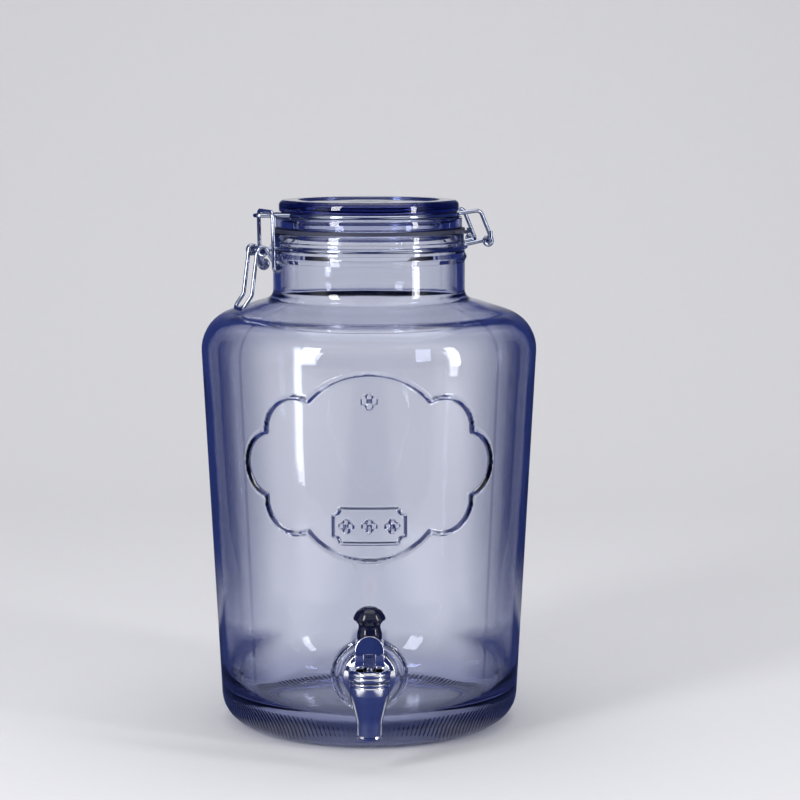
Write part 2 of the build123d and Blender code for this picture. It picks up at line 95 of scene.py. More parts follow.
# ------------------------------------------------------------------ shader maths
class Signal:
    """A number that varies over a surface, with Python's operators as Math nodes."""

    def __init__(self, shader: "Shader", socket: bpy.types.NodeSocket) -> None:
        """Keep the socket and the shader that it belongs to."""
        self.shader = shader
        self.socket = socket

    def _math(self, operation: str, *values: "Signal | float") -> "Signal":
        """Add one Math node.

        Args:
            operation: the Math node's operation.
            values: its inputs in order.

        Returns:
            The node's result.
        """
        return self.shader.node("ShaderNodeMath", {"operation": operation}, dict(enumerate(values)))

    def __add__(self, other: "Signal | float") -> "Signal":
        """Sum."""
        return self._math("ADD", self, other)

    def __mul__(self, other: "Signal | float") -> "Signal":
        """Product."""
        return self._math("MULTIPLY", self, other)

    def __rsub__(self, other: float) -> "Signal":
        """Difference from a plain number."""
        return self._math("SUBTRACT", other, self)

    def sine(self) -> "Signal":
        """Sine of the signal in radians."""
        return self._math("SINE", self)

    def angle_to(self, other: "Signal") -> "Signal":
        """Angle of the direction (other, self), in radians."""
        return self._math("ARCTAN2", self, other)

    def ramp(self, low: float, high: float) -> "Signal":
        """Rise from 0 at low to 1 at high, smoothly."""
        settings = {"interpolation_type": "SMOOTHSTEP"}
        return self.shader.node("ShaderNodeMapRange", settings, {0: self, 1: low, 2: high})


class Shader:
    """A material under construction."""

    def __init__(self, name: str) -> None:
        """Start a material with one Principled shader."""
        self.material = bpy.data.materials.new(name)
        self.material.use_nodes = True
        self.tree = self.material.node_tree
        self.surface = self.tree.nodes["Principled BSDF"]

    def node(self, kind: str, settings: dict, values: dict, output: int | str = 0) -> Signal:
        """Add any node.

        Args:
            kind: the node's type.
            settings: attributes that are set before the sockets.
            values: numbers, colours or signals for its input sockets.
            output: which output is returned.

        Returns:
            The output as a signal.
        """
        made = self.tree.nodes.new(kind)
        for key, value in settings.items():
            setattr(made, key, value)
        for key, value in values.items():
            self.feed(made.inputs[key], value)
        return Signal(self, made.outputs[output])

    def feed(self, socket: bpy.types.NodeSocket, value: "Signal | float | Sequence[float]") -> None:
        """Link a signal to a socket, or set the socket's own value."""
        if isinstance(value, Signal):
            self.tree.links.new(value.socket, socket)
        else:
            socket.default_value = value

    def set(self, **values: "Signal | float | Sequence[float]") -> "Shader":
        """Set the Principled shader's sockets, named with underscores for spaces."""
        for key, value in values.items():
            self.feed(self.surface.inputs[key.replace("_", " ")], value)
        return self

    def place(self) -> Signal:
        """The surface point in the object's own coordinates."""
        return self.node("ShaderNodeTexCoord", {}, {}, "Object")

    def axes(self) -> tuple[Signal, Signal, Signal]:
        """The surface point's x, y and z."""
        first = self.node("ShaderNodeSeparateXYZ", {}, {0: self.place()})
        outputs = first.socket.node.outputs
        return first, Signal(self, outputs[1]), Signal(self, outputs[2])

    def noise(self, scale: float, detail: float = 3.0, roughness: float = 0.5) -> Signal:
        """Cloudy noise from 0 to 1.

        Args:
            scale: features per metre.
            detail: octaves.
            roughness: how strong the fine octaves are.

        Returns:
            The noise's factor.
        """
        values = {"Vector": self.place(), "Scale": scale, "Detail": detail, "Roughness": roughness}
        return self.node("ShaderNodeTexNoise", {}, values)

    def blend(self, factor: "Signal | float", low: Colour, high: Colour) -> Signal:
        """Mix two colours."""
        settings = {"data_type": "RGBA"}
        return self.node("ShaderNodeMix", settings, {0: factor, 6: low, 7: high}, 2)

    def bump(self, height: Signal, depth: float) -> Signal:
        """Turn a height from 0 to 1 into a normal.

        Args:
            height: the height signal.
            depth: metres from 0 to 1.

        Returns:
            The normal.
        """
        values = {"Height": height, "Distance": depth, "Strength": 1.0}
        return self.node("ShaderNodeBump", {}, values)


# ------------------------------------------------------------------ finishes
@dataclass(frozen=True)
class PressedGlass:
    """Clear pressed glass with a cool tint, faintly wavy, frosted where it is handled."""

    name: str
    skin: Colour = (0.975, 0.983, 1.0, 1.0)
    tint: Colour = (0.0, 0.11, 0.64, 1.0)
    tint_per_metre: float = 25.0
    ior: float = 1.5
    wave_depth: float = 0.00035
    foot_stipple: int = 0
    foot_height: float = 0.0024
    foot_depth: float = 0.0004

    def make(self) -> bpy.types.Material:
        """Build the material."""
        shader = Shader(self.name)
        x, y, z = shader.axes()
        waves = shader.noise(16.0, 1.5) + shader.noise(60.0, 1.0) * 0.12
        normal = shader.bump(waves, self.wave_depth)
        if self.foot_stipple:
            foot = 1.0 - z.ramp(self.foot_height * 0.6, self.foot_height)
            knurl = (y.angle_to(x) * float(self.foot_stipple)).sine() * 0.5 + 0.5
            values = {"Height": knurl * foot, "Distance": self.foot_depth, "Normal": normal}
            normal = shader.node("ShaderNodeBump", {}, values)
        scuffs = shader.noise(220.0, 4.0, 0.7).ramp(0.62, 0.8) * 0.06
        shader.set(
            Base_Color=self.skin, Roughness=scuffs + 0.004, IOR=self.ior,
            Transmission_Weight=1.0, Normal=normal,
        )
        inside = shader.tree.nodes.new("ShaderNodeVolumeAbsorption")
        inside.inputs["Color"].default_value = self.tint
        inside.inputs["Density"].default_value = self.tint_per_metre
        output = shader.tree.nodes["Material Output"]
        shader.tree.links.new(inside.outputs[0], output.inputs["Volume"])
        return shader.material


@dataclass(frozen=True)
class Plating:
    """Bright plated metal with faint polishing marks and a few dull spots."""

    name: str
    colour: Colour = (0.80, 0.82, 0.88, 1.0)
    dull: Colour = (0.62, 0.65, 0.74, 1.0)
    roughness: float = 0.05
    grain: float = 900.0
    grain_depth: float = 0.00001

    def make(self) -> bpy.types.Material:
        """Build the material."""
        shader = Shader(self.name)
        wear = shader.noise(140.0, 5.0, 0.65).ramp(0.5, 0.75)
        polish = shader.noise(self.grain, 2.0)
        shader.set(
            Base_Color=shader.blend(wear, self.colour, self.dull), Metallic=1.0,
            Roughness=wear * 0.10 + self.roughness,
            Normal=shader.bump(polish, self.grain_depth),
        )
        return shader.material


@dataclass(frozen=True)
class Rubber:
    """Dark moulded rubber with a matt, slightly dusty skin."""

    name: str

    def make(self) -> bpy.types.Material:
        """Build the material."""
        shader = Shader(self.name)
        dust = shader.noise(400.0, 4.0, 0.6)
        shader.set(
            Base_Color=shader.blend(dust, (0.012, 0.014, 0.035, 1.0), (0.035, 0.04, 0.075, 1.0)),
            Roughness=dust * 0.25 + 0.42,
            Normal=shader.bump(shader.noise(1800.0, 2.0), 0.00003),
        )
        return shader.material


@dataclass(frozen=True)
class Knob:
    """Glossy moulded plastic with faint orange peel."""

    name: str

    def make(self) -> bpy.types.Material:
        """Build the material."""
        shader = Shader(self.name)
        peel = shader.noise(500.0, 2.0)
        rubbed = shader.noise(160.0, 4.0, 0.6).ramp(0.5, 0.8)
        shader.set(
            Base_Color=shader.blend(rubbed, (0.004, 0.005, 0.020, 1.0), (0.012, 0.014, 0.04, 1.0)),
            Roughness=rubbed * 0.10 + 0.07, Coat_Weight=0.1, Specular_IOR_Level=0.3,
            Normal=shader.bump(peel, 0.00004),
        )
        return shader.material


@dataclass(frozen=True)
class Paper:
    """Pale matt floor."""

    name: str = "pale_floor"
    colour: Colour = (0.66, 0.66, 0.68, 1.0)

    def make(self) -> bpy.types.Material:
        """Build the material."""
        shader = Shader(self.name)
        fibre = shader.noise(90.0, 5.0, 0.6)
        darker = tuple(0.97 * c for c in self.colour[:3]) + (1.0,)
        shader.set(
            Base_Color=shader.blend(fibre, darker, self.colour), Roughness=0.85,
            Normal=shader.bump(fibre, 0.00005),
        )
        return shader.material


# ------------------------------------------------------------------ modelling steps
def deselect_all() -> None:
    """Leave edit mode and deselect every object."""
    if bpy.context.object and bpy.context.object.mode != "OBJECT":
        bpy.ops.object.mode_set(mode="OBJECT")
    bpy.ops.object.select_all(action="DESELECT")


def adopt(name: str) -> bpy.types.Object:
    """Name the object that an operator has just added, and its mesh.

    Args:
        name: the piece's name.

    Returns:
        The object.
    """
    obj = bpy.context.object
    obj.name = name
    obj.data.name = name
    return obj


def rounded(corners: Sequence[Corner], steps: int = 6) -> list[Point]:
    """Round the corners of an open outline with arcs, small ones in fewer pieces.

    Args:
        corners: (radius, height, rounding) of each corner.
        steps: pieces of each large arc.

    Returns:
        The outline's points.
    """
    points: list[Point] = []
    for index, (x, y, rounding) in enumerate(corners):
        if rounding <= 0 or index in (0, len(corners) - 1):
            points.append((x, y))
            continue
        here = Vector((x, y))
        back = (Vector(corners[index - 1][:2]) - here).normalized()
        ahead = (Vector(corners[index + 1][:2]) - here).normalized()
        half = back.angle(ahead) / 2
        centre = here + (back + ahead).normalized() * (rounding / math.sin(half))
        start = here + back * (rounding / math.tan(half)) - centre
        end = here + ahead * (rounding / math.tan(half)) - centre
        turn = start.angle_signed(end)
        pieces = steps if rounding > SMALL_ROUNDING else max(3, steps // 3)
        for step in range(pieces + 1):
            angle = -turn * step / pieces
            arm = (
                start.x * math.cos(angle) - start.y * math.sin(angle),
                start.x * math.sin(angle) + start.y * math.cos(angle),
            )
            points.append((centre.x + arm[0], centre.y + arm[1]))
    return points


def split_rows(points: Sequence[Point], step_at: Callable[[float], float]) -> list[Point]:
    """Divide an outline's long runs into rows.

    Args:
        points: the outline.
        step_at: the longest allowed run at a height.

    Returns:
        The outline with more points.
    """
    rows = [points[0]]
    for (x0, z0), (x1, z1) in zip(points, points[1:]):
        travelled, length = 0.0, math.hypot(x1 - x0, z1 - z0)
        while length - travelled > 1.5 * step_at(z0 + (z1 - z0) * travelled / length):
            travelled += step_at(z0 + (z1 - z0) * travelled / length)
            share = travelled / length
            rows.append((x0 + (x1 - x0) * share, z0 + (z1 - z0) * share))
        rows.append((x1, z1))
    return rows


def draw_chain(name: str, points: Iterable[Vector]) -> bpy.types.Object:
    """Draw a chain of edges by extruding one vertex from point to point, and stay in edit mode.

    Args:
        name: the new piece's name.
        points: the chain's points.

    Returns:
        The new object.
    """
    deselect_all()
    bpy.ops.mesh.primitive_plane_add(size=MM)
    obj = adopt(name)
    bpy.ops.object.mode_set(mode="EDIT")
    bpy.ops.mesh.select_mode(type="VERT")
    bpy.ops.mesh.merge(type="CENTER")
    at = Vector((0.0, 0.0, 0.0))
    for index, point in enumerate(points):
        if index == 0:
            bpy.ops.transform.translate(value=point - at)
        else:
            bpy.ops.mesh.extrude_vertices_move(TRANSFORM_OT_translate={"value": point - at})
        at = point
    return obj


def close_shell(obj: bpy.types.Object, angle: float = 35.0) -> bpy.types.Object:
    """Merge doubles, point the faces outwards and shade by angle.

    Args:
        obj: the piece, in edit mode.
        angle: degrees above which an edge stays sharp.

    Returns:
        The piece, in object mode.
    """
    bpy.ops.mesh.select_all(action="SELECT")
    bpy.ops.mesh.remove_doubles(threshold=MERGE_DISTANCE)
    bpy.ops.mesh.normals_make_consistent(inside=False)
    bpy.ops.object.mode_set(mode="OBJECT")
    bpy.ops.object.shade_smooth_by_angle(angle=math.radians(angle))
    return obj


class Axis(Enum):
    """The axis that an outline is spun about."""

    UP = (0.0, 0.0, 1.0)
    FORWARD = (0.0, -1.0, 0.0)


def spun(
    name: str, outline: Sequence[Point], centre: Vector = Vector(), axis: Axis = Axis.UP,
    segments: int = 96, angle: float = 35.0,
) -> bpy.types.Object:
    """Spin an outline of (radius, distance along the axis) into a closed piece.

    Args:
        name: the piece's name.
        outline: its outline in millimetres.
        centre: a point on the axis, in metres, from which the distance counts.
        axis: the axis's direction.
        segments: steps of the full turn.
        angle: degrees above which an edge stays sharp.

    Returns:
        The piece.
    """
    along = Vector(axis.value)
    points = [centre + Vector((r * MM, 0, 0)) + along * (d * MM) for r, d in outline]
    obj = draw_chain(name, points)
    bpy.ops.mesh.select_all(action="SELECT")
    bpy.ops.mesh.spin(steps=segments, angle=2 * math.pi, center=centre, axis=along)
    return close_shell(obj, angle)


def vertex_places(obj: bpy.types.Object) -> np.ndarray:
    """The piece's vertices as rows of x, y, z."""
    places = np.zeros(len(obj.data.vertices) * 3)
    obj.data.vertices.foreach_get("co", places)
    return places.reshape(-1, 3)


def raise_relief(obj: bpy.types.Object, heights: np.ndarray) -> None:
    """Push vertices out along their normals by heights in metres.

    Args:
        obj: the piece, in object mode.
        heights: one height for each vertex.
    """
    for sign, label in ((1, "raised"), (-1, "sunk")):
        share = np.clip(sign * heights, 0, None)
        if share.max() < 1e-9:
            continue
        group = obj.vertex_groups.new(name=label)
        for index in np.nonzero(share > 1e-7)[0]:
            group.add([int(index)], float(share[index] / share.max()), "REPLACE")
        push = obj.modifiers.new(label, "DISPLACE")
        push.vertex_group = label
        push.mid_level = 0.0
        push.strength = float(sign * share.max())
        apply_modifier(obj, label)


def pick(obj: bpy.types.Object) -> None:
    """Select one piece and make it active, in object mode."""
    deselect_all()
    obj.select_set(True)
    bpy.context.view_layer.objects.active = obj


def apply_modifier(obj: bpy.types.Object, name: str) -> None:
    """Apply one modifier of a piece."""
    pick(obj)
    bpy.ops.object.modifier_apply(modifier=name)


def smooth(obj: bpy.types.Object, angle: float) -> None:
    """Shade a piece by angle.

    Args:
        obj: the piece.
        angle: degrees above which an edge stays sharp.
    """
    pick(obj)
    bpy.ops.object.shade_smooth_by_angle(angle=math.radians(angle))


def shift(obj: bpy.types.Object, way: Vector) -> None:
    """Move a piece's vertices, so that its origin stays.

    Args:
        obj: the piece, in object mode.
        way: how far, in metres.
    """
    bpy.context.view_layer.objects.active = obj
    bpy.ops.object.mode_set(mode="EDIT")
    bpy.ops.mesh.select_all(action="SELECT")
    bpy.ops.transform.translate(value=way)
    bpy.ops.object.mode_set(mode="OBJECT")


def archway(half: float, top: float, foot: float, steps: int) -> list[Point]:
    """Outline of an arch with a round head, across and up.

    Args:
        half: half its width.
        top: the height of its crown.
        foot: the height of its feet.
        steps: pieces of the head.

    Returns:
        The outline's points.
    """
    points = [(half, foot), (half, top - half)]
    for step in range(1, steps):
        angle = math.pi * step / steps
        points.append((half * math.cos(angle), top - half + half * math.sin(angle)))
    return points + [(-half, top - half), (-half, foot)]


def cut(obj: bpy.types.Object, cutter: bpy.types.Object, operation: str = "DIFFERENCE") -> None:
    """Combine a piece with a second one, which is used up.

    Args:
        obj: the piece that stays.
        cutter: the piece that is used up.
        operation: the Boolean modifier's operation.
    """
    change = obj.modifiers.new("cut", "BOOLEAN")
    change.operation = operation
    change.object = cutter
    change.solver = "EXACT"
    apply_modifier(obj, "cut")
    bpy.data.objects.remove(cutter)


def dress(
    obj: bpy.types.Object, material: bpy.types.Material, body: str, slot: Slot, *nodes: str
) -> bpy.types.Object:
    """Give a new piece its finish and its place in the frame.

    Args:
        obj: the piece.
        material: its finish.
        body: the frame's body that it rides on.
        slot: the record's material slot; not used.
        nodes: the frame's nodes that it stands for.

    Returns:
        The piece.
    """
    obj.data.materials.clear()
    obj.data.materials.append(material)
    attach(obj, body)
    if nodes:
        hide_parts(*nodes)
    LOG.info("%s rides on %s, %d faces", obj.name, body, len(obj.data.polygons))
    return obj


def paint_node(node: str, material: bpy.types.Material) -> None:
    """Give one of the frame's own nodes a finish."""
    data = frame["nodes"][node].data
    data.materials.clear()
    data.materials.append(material)


# ------------------------------------------------------------------ raised decoration
@dataclass(frozen=True)
class Arc:
    """A circular stretch of a raised line, in millimetres on the unrolled wall."""

    start: Point
    end: Point
    bulge: float

    def distance(self, across: np.ndarray, up: np.ndarray) -> np.ndarray:
        """How far points lie from the arc.

        Args:
            across: their places along the wall.
            up: their heights.

        Returns:
            Their distances.
        """
        first, last = np.array(self.start), np.array(self.end)
        ends = [np.hypot(across - p[0], up - p[1]) for p in (first, last)]
        nearest = np.minimum(*ends)
        chord = last - first
        length = math.hypot(*chord)
        direction = chord / length
        side = np.array([-direction[1], direction[0]])
        if abs(self.bulge) < 1e-6:
            along = (across - first[0]) * direction[0] + (up - first[1]) * direction[1]
            off = (across - first[0]) * side[0] + (up - first[1]) * side[1]
            return np.where((along > 0) & (along < length), np.abs(off), nearest)
        radius = ((length / 2) ** 2 + self.bulge**2) / (2 * abs(self.bulge))
        sign = math.copysign(1.0, self.bulge)
        centre = (first + last) / 2 + side * sign * (abs(self.bulge) - radius)
        dx, dy = across - centre[0], up - centre[1]
        middle = side * sign
        reach = np.hypot(dx, dy)
        facing = (dx * middle[0] + dy * middle[1]) / np.maximum(reach, 1e-9)
        limit = (radius - abs(self.bulge)) / radius
        return np.where(facing >= limit, np.abs(reach - radius), nearest)


@dataclass(frozen=True)
class RaisedFrame:
    """The scalloped frame that is pressed into the front of the jar, with a bare middle."""

    height: float = 175.5
    half_width: float = 82.0
    half_height: float = 56.5
    upper_cusp: Point = (37.1, 39.5)
    side_cusp: Point = (66.4, 19.7)
    corner_bulge: float = 10.0
    line_width: float = 3.9
    line_height: float = 1.9
    plaque_height: float = -35.2
    plaque_half_width: float = 21.8
    plaque_half_height: float = 10.7
    plaque_notch: float = 4.4
    plaque_line: float = 2.2
    notch_bulge: float = 0.29
    pip_lobe: float = 1.75
    pip_spread: float = 2.6
    pip_height: float = 1.8
    pip_gap: float = 13.7
    pip_softness: float = 0.8
    top_pip_height: float = 39.9

    def outline(self) -> list[Arc]:
        """The scalloped outline, one arc for each lobe."""
        (ux, uz), (sx, sz) = self.upper_cusp, self.side_cusp
        top = self.half_height - uz
        side = self.half_width - sx
        arcs = [
            Arc((ux, uz), (-ux, uz), -top), Arc((-ux, -uz), (ux, -uz), -top),
            Arc((sx, -sz), (sx, sz), -side), Arc((-sx, sz), (-sx, -sz), -side),
        ]
        for mirror_x in (-1, 1):
            for mirror_z in (-1, 1):
                bulge = -self.corner_bulge * mirror_x * mirror_z
                start = (sx * mirror_x, sz * mirror_z)
                arcs.append(Arc(start, (ux * mirror_x, uz * mirror_z), bulge))
        return arcs

    def plaque(self) -> list[Arc]:
        """The small plaque's outline, with notched corners."""
        w, h = self.plaque_half_width, self.plaque_half_height
        n, z = self.plaque_notch, self.plaque_height
        arcs = []
        for sign in (-1, 1):
            arcs.append(Arc((-(w - n), z + sign * h), (w - n, z + sign * h), 0.0))
            arcs.append(Arc((sign * w, z - (h - n)), (sign * w, z + h - n), 0.0))
            for other in (-1, 1):
                start = (sign * w, z + other * (h - n))
                bulge = self.notch_bulge * n * sign * other
                arcs.append(Arc(start, (sign * (w - n), z + other * h), bulge))
        return arcs

    def heights(self, across: np.ndarray, up: np.ndarray) -> np.ndarray:
        """The relief over the wall.

        Args:
            across: places along the unrolled wall, in millimetres from its front.
            up: heights above the base, in millimetres.

        Returns:
            The relief in metres.
        """
        rise = up - self.height
        relief = self._line(self.outline(), across, rise, self.line_width, self.line_height)
        small = self._line(self.plaque(), across, rise, self.plaque_line, 0.8 * self.line_height)
        relief = np.maximum(relief, small)
        pips = [(0.0, self.top_pip_height, 1.1)]
        pips += [(self.pip_gap * place, self.plaque_height, 1.0) for place in (-1, 0, 1)]
        for x, z, size in pips:
            lobes = []
            for turn_x, turn_z in ((1, 0), (0, 1), (-1, 0), (0, -1)):
                off_x = across - x - self.pip_spread * size * turn_x
                off_z = rise - z - self.pip_spread * size * turn_z
                lobes.append(np.hypot(off_x, off_z))
            edge = np.min(lobes, axis=0) - self.pip_lobe * size
            share = np.clip(0.5 - edge / self.pip_softness, 0, 1)
            relief = np.maximum(relief, share * self.pip_height)
        return relief * MM

    def _line(
        self, arcs: list[Arc], across: np.ndarray, up: np.ndarray, width: float, height: float
    ) -> np.ndarray:
        """Relief of a set of raised lines."""
        nearest = np.min([arc.distance(across, up) for arc in arcs], axis=0)
        return self._bump(nearest, width) * height

    @staticmethod
    def _bump(distance: np.ndarray, width: float) -> np.ndarray:
        """A rounded ridge of a full width, 1 at its middle."""
        inside = np.clip(distance / (width / 2), 0, 1)
        return 0.5 + 0.5 * np.cos(math.pi * inside)


# ------------------------------------------------------------------ jar
@dataclass
class Jar:
    """The pressed glass jar."""

    glass: PressedGlass
    base_radius: float = 93.2
    shoulder_radius: float = 106.2
    shoulder_height: float = 254.7
    neck_radius: float = 60.3
    neck_foot: float = 269.6
    rim_height: float = 310.0
    rim_radius: float = 59.6
    wall: float = 4.1
    floor: float = 8.0
    mouth_radius: float = 55.5
    seat_radius: float = 56.6
    seat_depth: float = 9.0
    bead_height: float = 294.6
    bead_swell: float = 1.3
    wire_height: float = 300.8
    tap_height: float = 48.7
    boss_radius: float = 21.8
    boss_reach: float = 97.6
    boss_dish: float = 0.8
    boss_ring: float = 3.0
    pad_radius: float = 18.0
    pad_reach: float = 89.4
    hole_radius: float = 8.4
    front_half_angle: float = 48.5
    front_steps: int = 210
    back_steps: int = 49
    straight_wall: Point = (16.0, 236.0)
    relief_row: float = 0.78
    boss_row: float = 1.2
    plain_row: float = 5.0
    crease: float = 40.0
    decoration: RaisedFrame = field(default_factory=RaisedFrame)

    def row_step(self, height: float) -> float:
        """The longest row at a height: fine where the front is decorated."""
        if abs(height - self.decoration.height) < self.decoration.half_height + 3.0:
            return self.relief_row
        return self.boss_row if 25.5 < height < 72.0 else self.plain_row

    def outer_outline(self) -> list[Point]:
        """The outside from the middle of the base to the rim."""
        corners = [
            (0.0, 3.2, 0), (30.0, 3.2, 0), (60.0, 3.2, 5), (68.0, 0.0, 5),
            (self.base_radius, 0.0, 18), (self.shoulder_radius, self.shoulder_height, 25),
            (self.neck_radius, self.neck_foot, 6),
            (self.neck_radius, self.bead_height - 3.0, 1.5),
            (self.neck_radius + self.bead_swell, self.bead_height, 1.2),
            (self.neck_radius, self.bead_height + 3.0, 1.0),
            (self.neck_radius, self.wire_height - 1.8, 0.4),
            (self.neck_radius - 0.9, self.wire_height, 0.8),
            (self.neck_radius, self.wire_height + 1.8, 0.4),
            (self.neck_radius, self.rim_height - 6, 1.5), (self.rim_radius, self.rim_height - 5, 1.5),
            (self.rim_radius, self.rim_height, 1.3), (self.seat_radius, self.rim_height, 0.9),
        ]
        return split_rows(rounded(corners, 9), self.row_step)

    def inner_outline(self) -> list[Point]:
        """The inside from the rim to the middle of the floor."""
        neck_foot = self.neck_foot - self.wall
        corners = [
            (self.seat_radius, self.rim_height, 0.9),
            (self.seat_radius, self.rim_height - self.seat_depth, 0.6),
            (self.mouth_radius, self.rim_height - self.seat_depth - 0.6, 0.5),
            (self.mouth_radius, neck_foot, 6),
            (self.shoulder_radius - self.wall, self.shoulder_height - self.wall, 25 - self.wall),
            (self.base_radius - self.wall, self.floor, 30), (30.0, self.floor, 0),
            (0.0, self.floor + 0.4, 0),
        ]
        return split_rows(rounded(corners, 9), lambda z: 2.8 if 28.0 < z < 70.0 else 14.0)

    def build(self) -> bpy.types.Object:
        """Spin the jar, press its decoration and drill the tap's hole.

        Returns:
            The piece.
        """
        outline = self.outer_outline() + self.inner_outline()[1:]
        start = math.radians(270.0 - self.front_half_angle)
        aim = Vector((math.cos(start), math.sin(start), 0.0))
        obj = draw_chain("jar", [aim * (r * MM) + Vector((0, 0, z * MM)) for r, z in outline])
        front = 2 * math.radians(self.front_half_angle)
        spin = {"center": (0, 0, 0), "axis": (0, 0, 1), "use_auto_merge": False}
        bpy.ops.mesh.select_all(action="SELECT")
        bpy.ops.mesh.spin(steps=self.front_steps, angle=-front, **spin)
        bpy.ops.mesh.spin(steps=self.back_steps, angle=-(2 * math.pi - front), **spin)
        close_shell(obj, self.crease)
        self.press(obj)
        self.drill(obj)
        return dress(obj, self.glass.make(), "jar", Slot.JAR, "jar_body")

    def press(self, obj: bpy.types.Object) -> None:
        """Raise the frame, the boss and the pad inside it."""
        x, y, z = (vertex_places(obj) / MM).T
        reach = np.hypot(x, y)
        flare = self.shoulder_radius - self.base_radius
        wall_at = self.base_radius + flare * z / self.shoulder_height
        straight = (y < 0) & (z > self.straight_wall[0]) & (z < self.straight_wall[1])
        outside = straight & (reach > wall_at - 1.0)
        inside = straight & ~outside & (reach > wall_at - self.wall - 1.5)
        across = wall_at * np.arctan2(x, -y)
        heights = np.where(outside, self.decoration.heights(across, z), 0.0)
        away = np.hypot(x, z - self.tap_height)
        dish = 1 - self._step(away, self.boss_radius - self.boss_ring, 0.8)
        face = self.boss_reach - self.boss_dish * dish
        boss = np.clip(face + y, 0, None) * (1 - self._step(away, self.boss_radius, 0.9))
        lean = -y / np.maximum(reach, 1e-6)
        heights += np.where(outside, boss * lean * MM, 0.0)
        pad = np.clip(-self.pad_reach - y, 0, None) * (1 - self._step(away, self.pad_radius, 1.5))
        heights += np.where(inside, pad * lean * MM, 0.0)
        raise_relief(obj, heights)

    @staticmethod
    def _step(value: np.ndarray, edge: float, softness: float) -> np.ndarray:
        """0 below an edge and 1 above it, over twice the softness."""
        share = np.clip((value - edge + softness) / (2 * softness), 0, 1)
        return share * share * (3 - 2 * share)

    def drill(self, obj: bpy.types.Object) -> None:
        """Cut the tap's hole through the front wall."""
        deselect_all()
        middle = Vector((0, -0.5 * (self.boss_reach + self.pad_reach) * MM, self.tap_height * MM))
        turn = (math.pi / 2, 0, 0)
        bpy.ops.mesh.primitive_cylinder_add(
            vertices=64, radius=self.hole_radius * MM, depth=20 * MM, location=middle, rotation=turn)
        drill = adopt("drill")
        bpy.ops.object.transform_apply(location=True, rotation=True, scale=True)
        cut(obj, drill)
        smooth(obj, self.crease)


# ------------------------------------------------------------------ lid
@dataclass
class Lid:
    """The glass lid: plug, flange, wire groove and dished top."""

    glass: PressedGlass
    plug_radius: float = 54.8
    plug_foot: float = 305.7
    flange_foot: float = 312.2
    flange_radius: float = 58.4
    flange_top: float = 319.8
    groove_radius: float = 55.0
    disc_radius: float = 56.4
    top: float = 330.0
    hollow_radius: float = 46.3
    roof: float = 9.0
    dish_radius: float = 45.0
    dish_depth: float = 1.2

    def build(self) -> bpy.types.Object:
        """Spin the lid."""
        corners = [
            (0.0, self.top - self.roof, 0), (20.0, self.top - self.roof, 0),
            (self.hollow_radius, self.top - self.roof, 6),
            (self.hollow_radius, self.plug_foot, 2.2), (self.plug_radius, self.plug_foot, 2.2),
            (self.plug_radius, self.flange_foot, 0.5), (self.flange_radius, self.flange_foot, 1.6),
            (self.flange_radius, self.flange_top, 1.8), (self.groove_radius, self.flange_top + 0.2, 1.1),
            (self.groove_radius, self.flange_top + 2.6, 1.1),
            (self.disc_radius, self.flange_top + 3.4, 1.0),
            (self.disc_radius, self.top, 3.2), (self.dish_radius, self.top, 1.6),
            (self.dish_radius - 3.0, self.top - self.dish_depth, 1.6),
            (18.0, self.top - self.dish_depth, 0),
            (0.0, self.top - self.dish_depth - 0.5, 0),
        ]
        outline = split_rows(rounded(corners, 7), lambda z: 5.0)
        obj = spun("lid_glass", outline, segments=160)
        return dress(obj, self.glass.make(), "lid", Slot.LID, "lid")


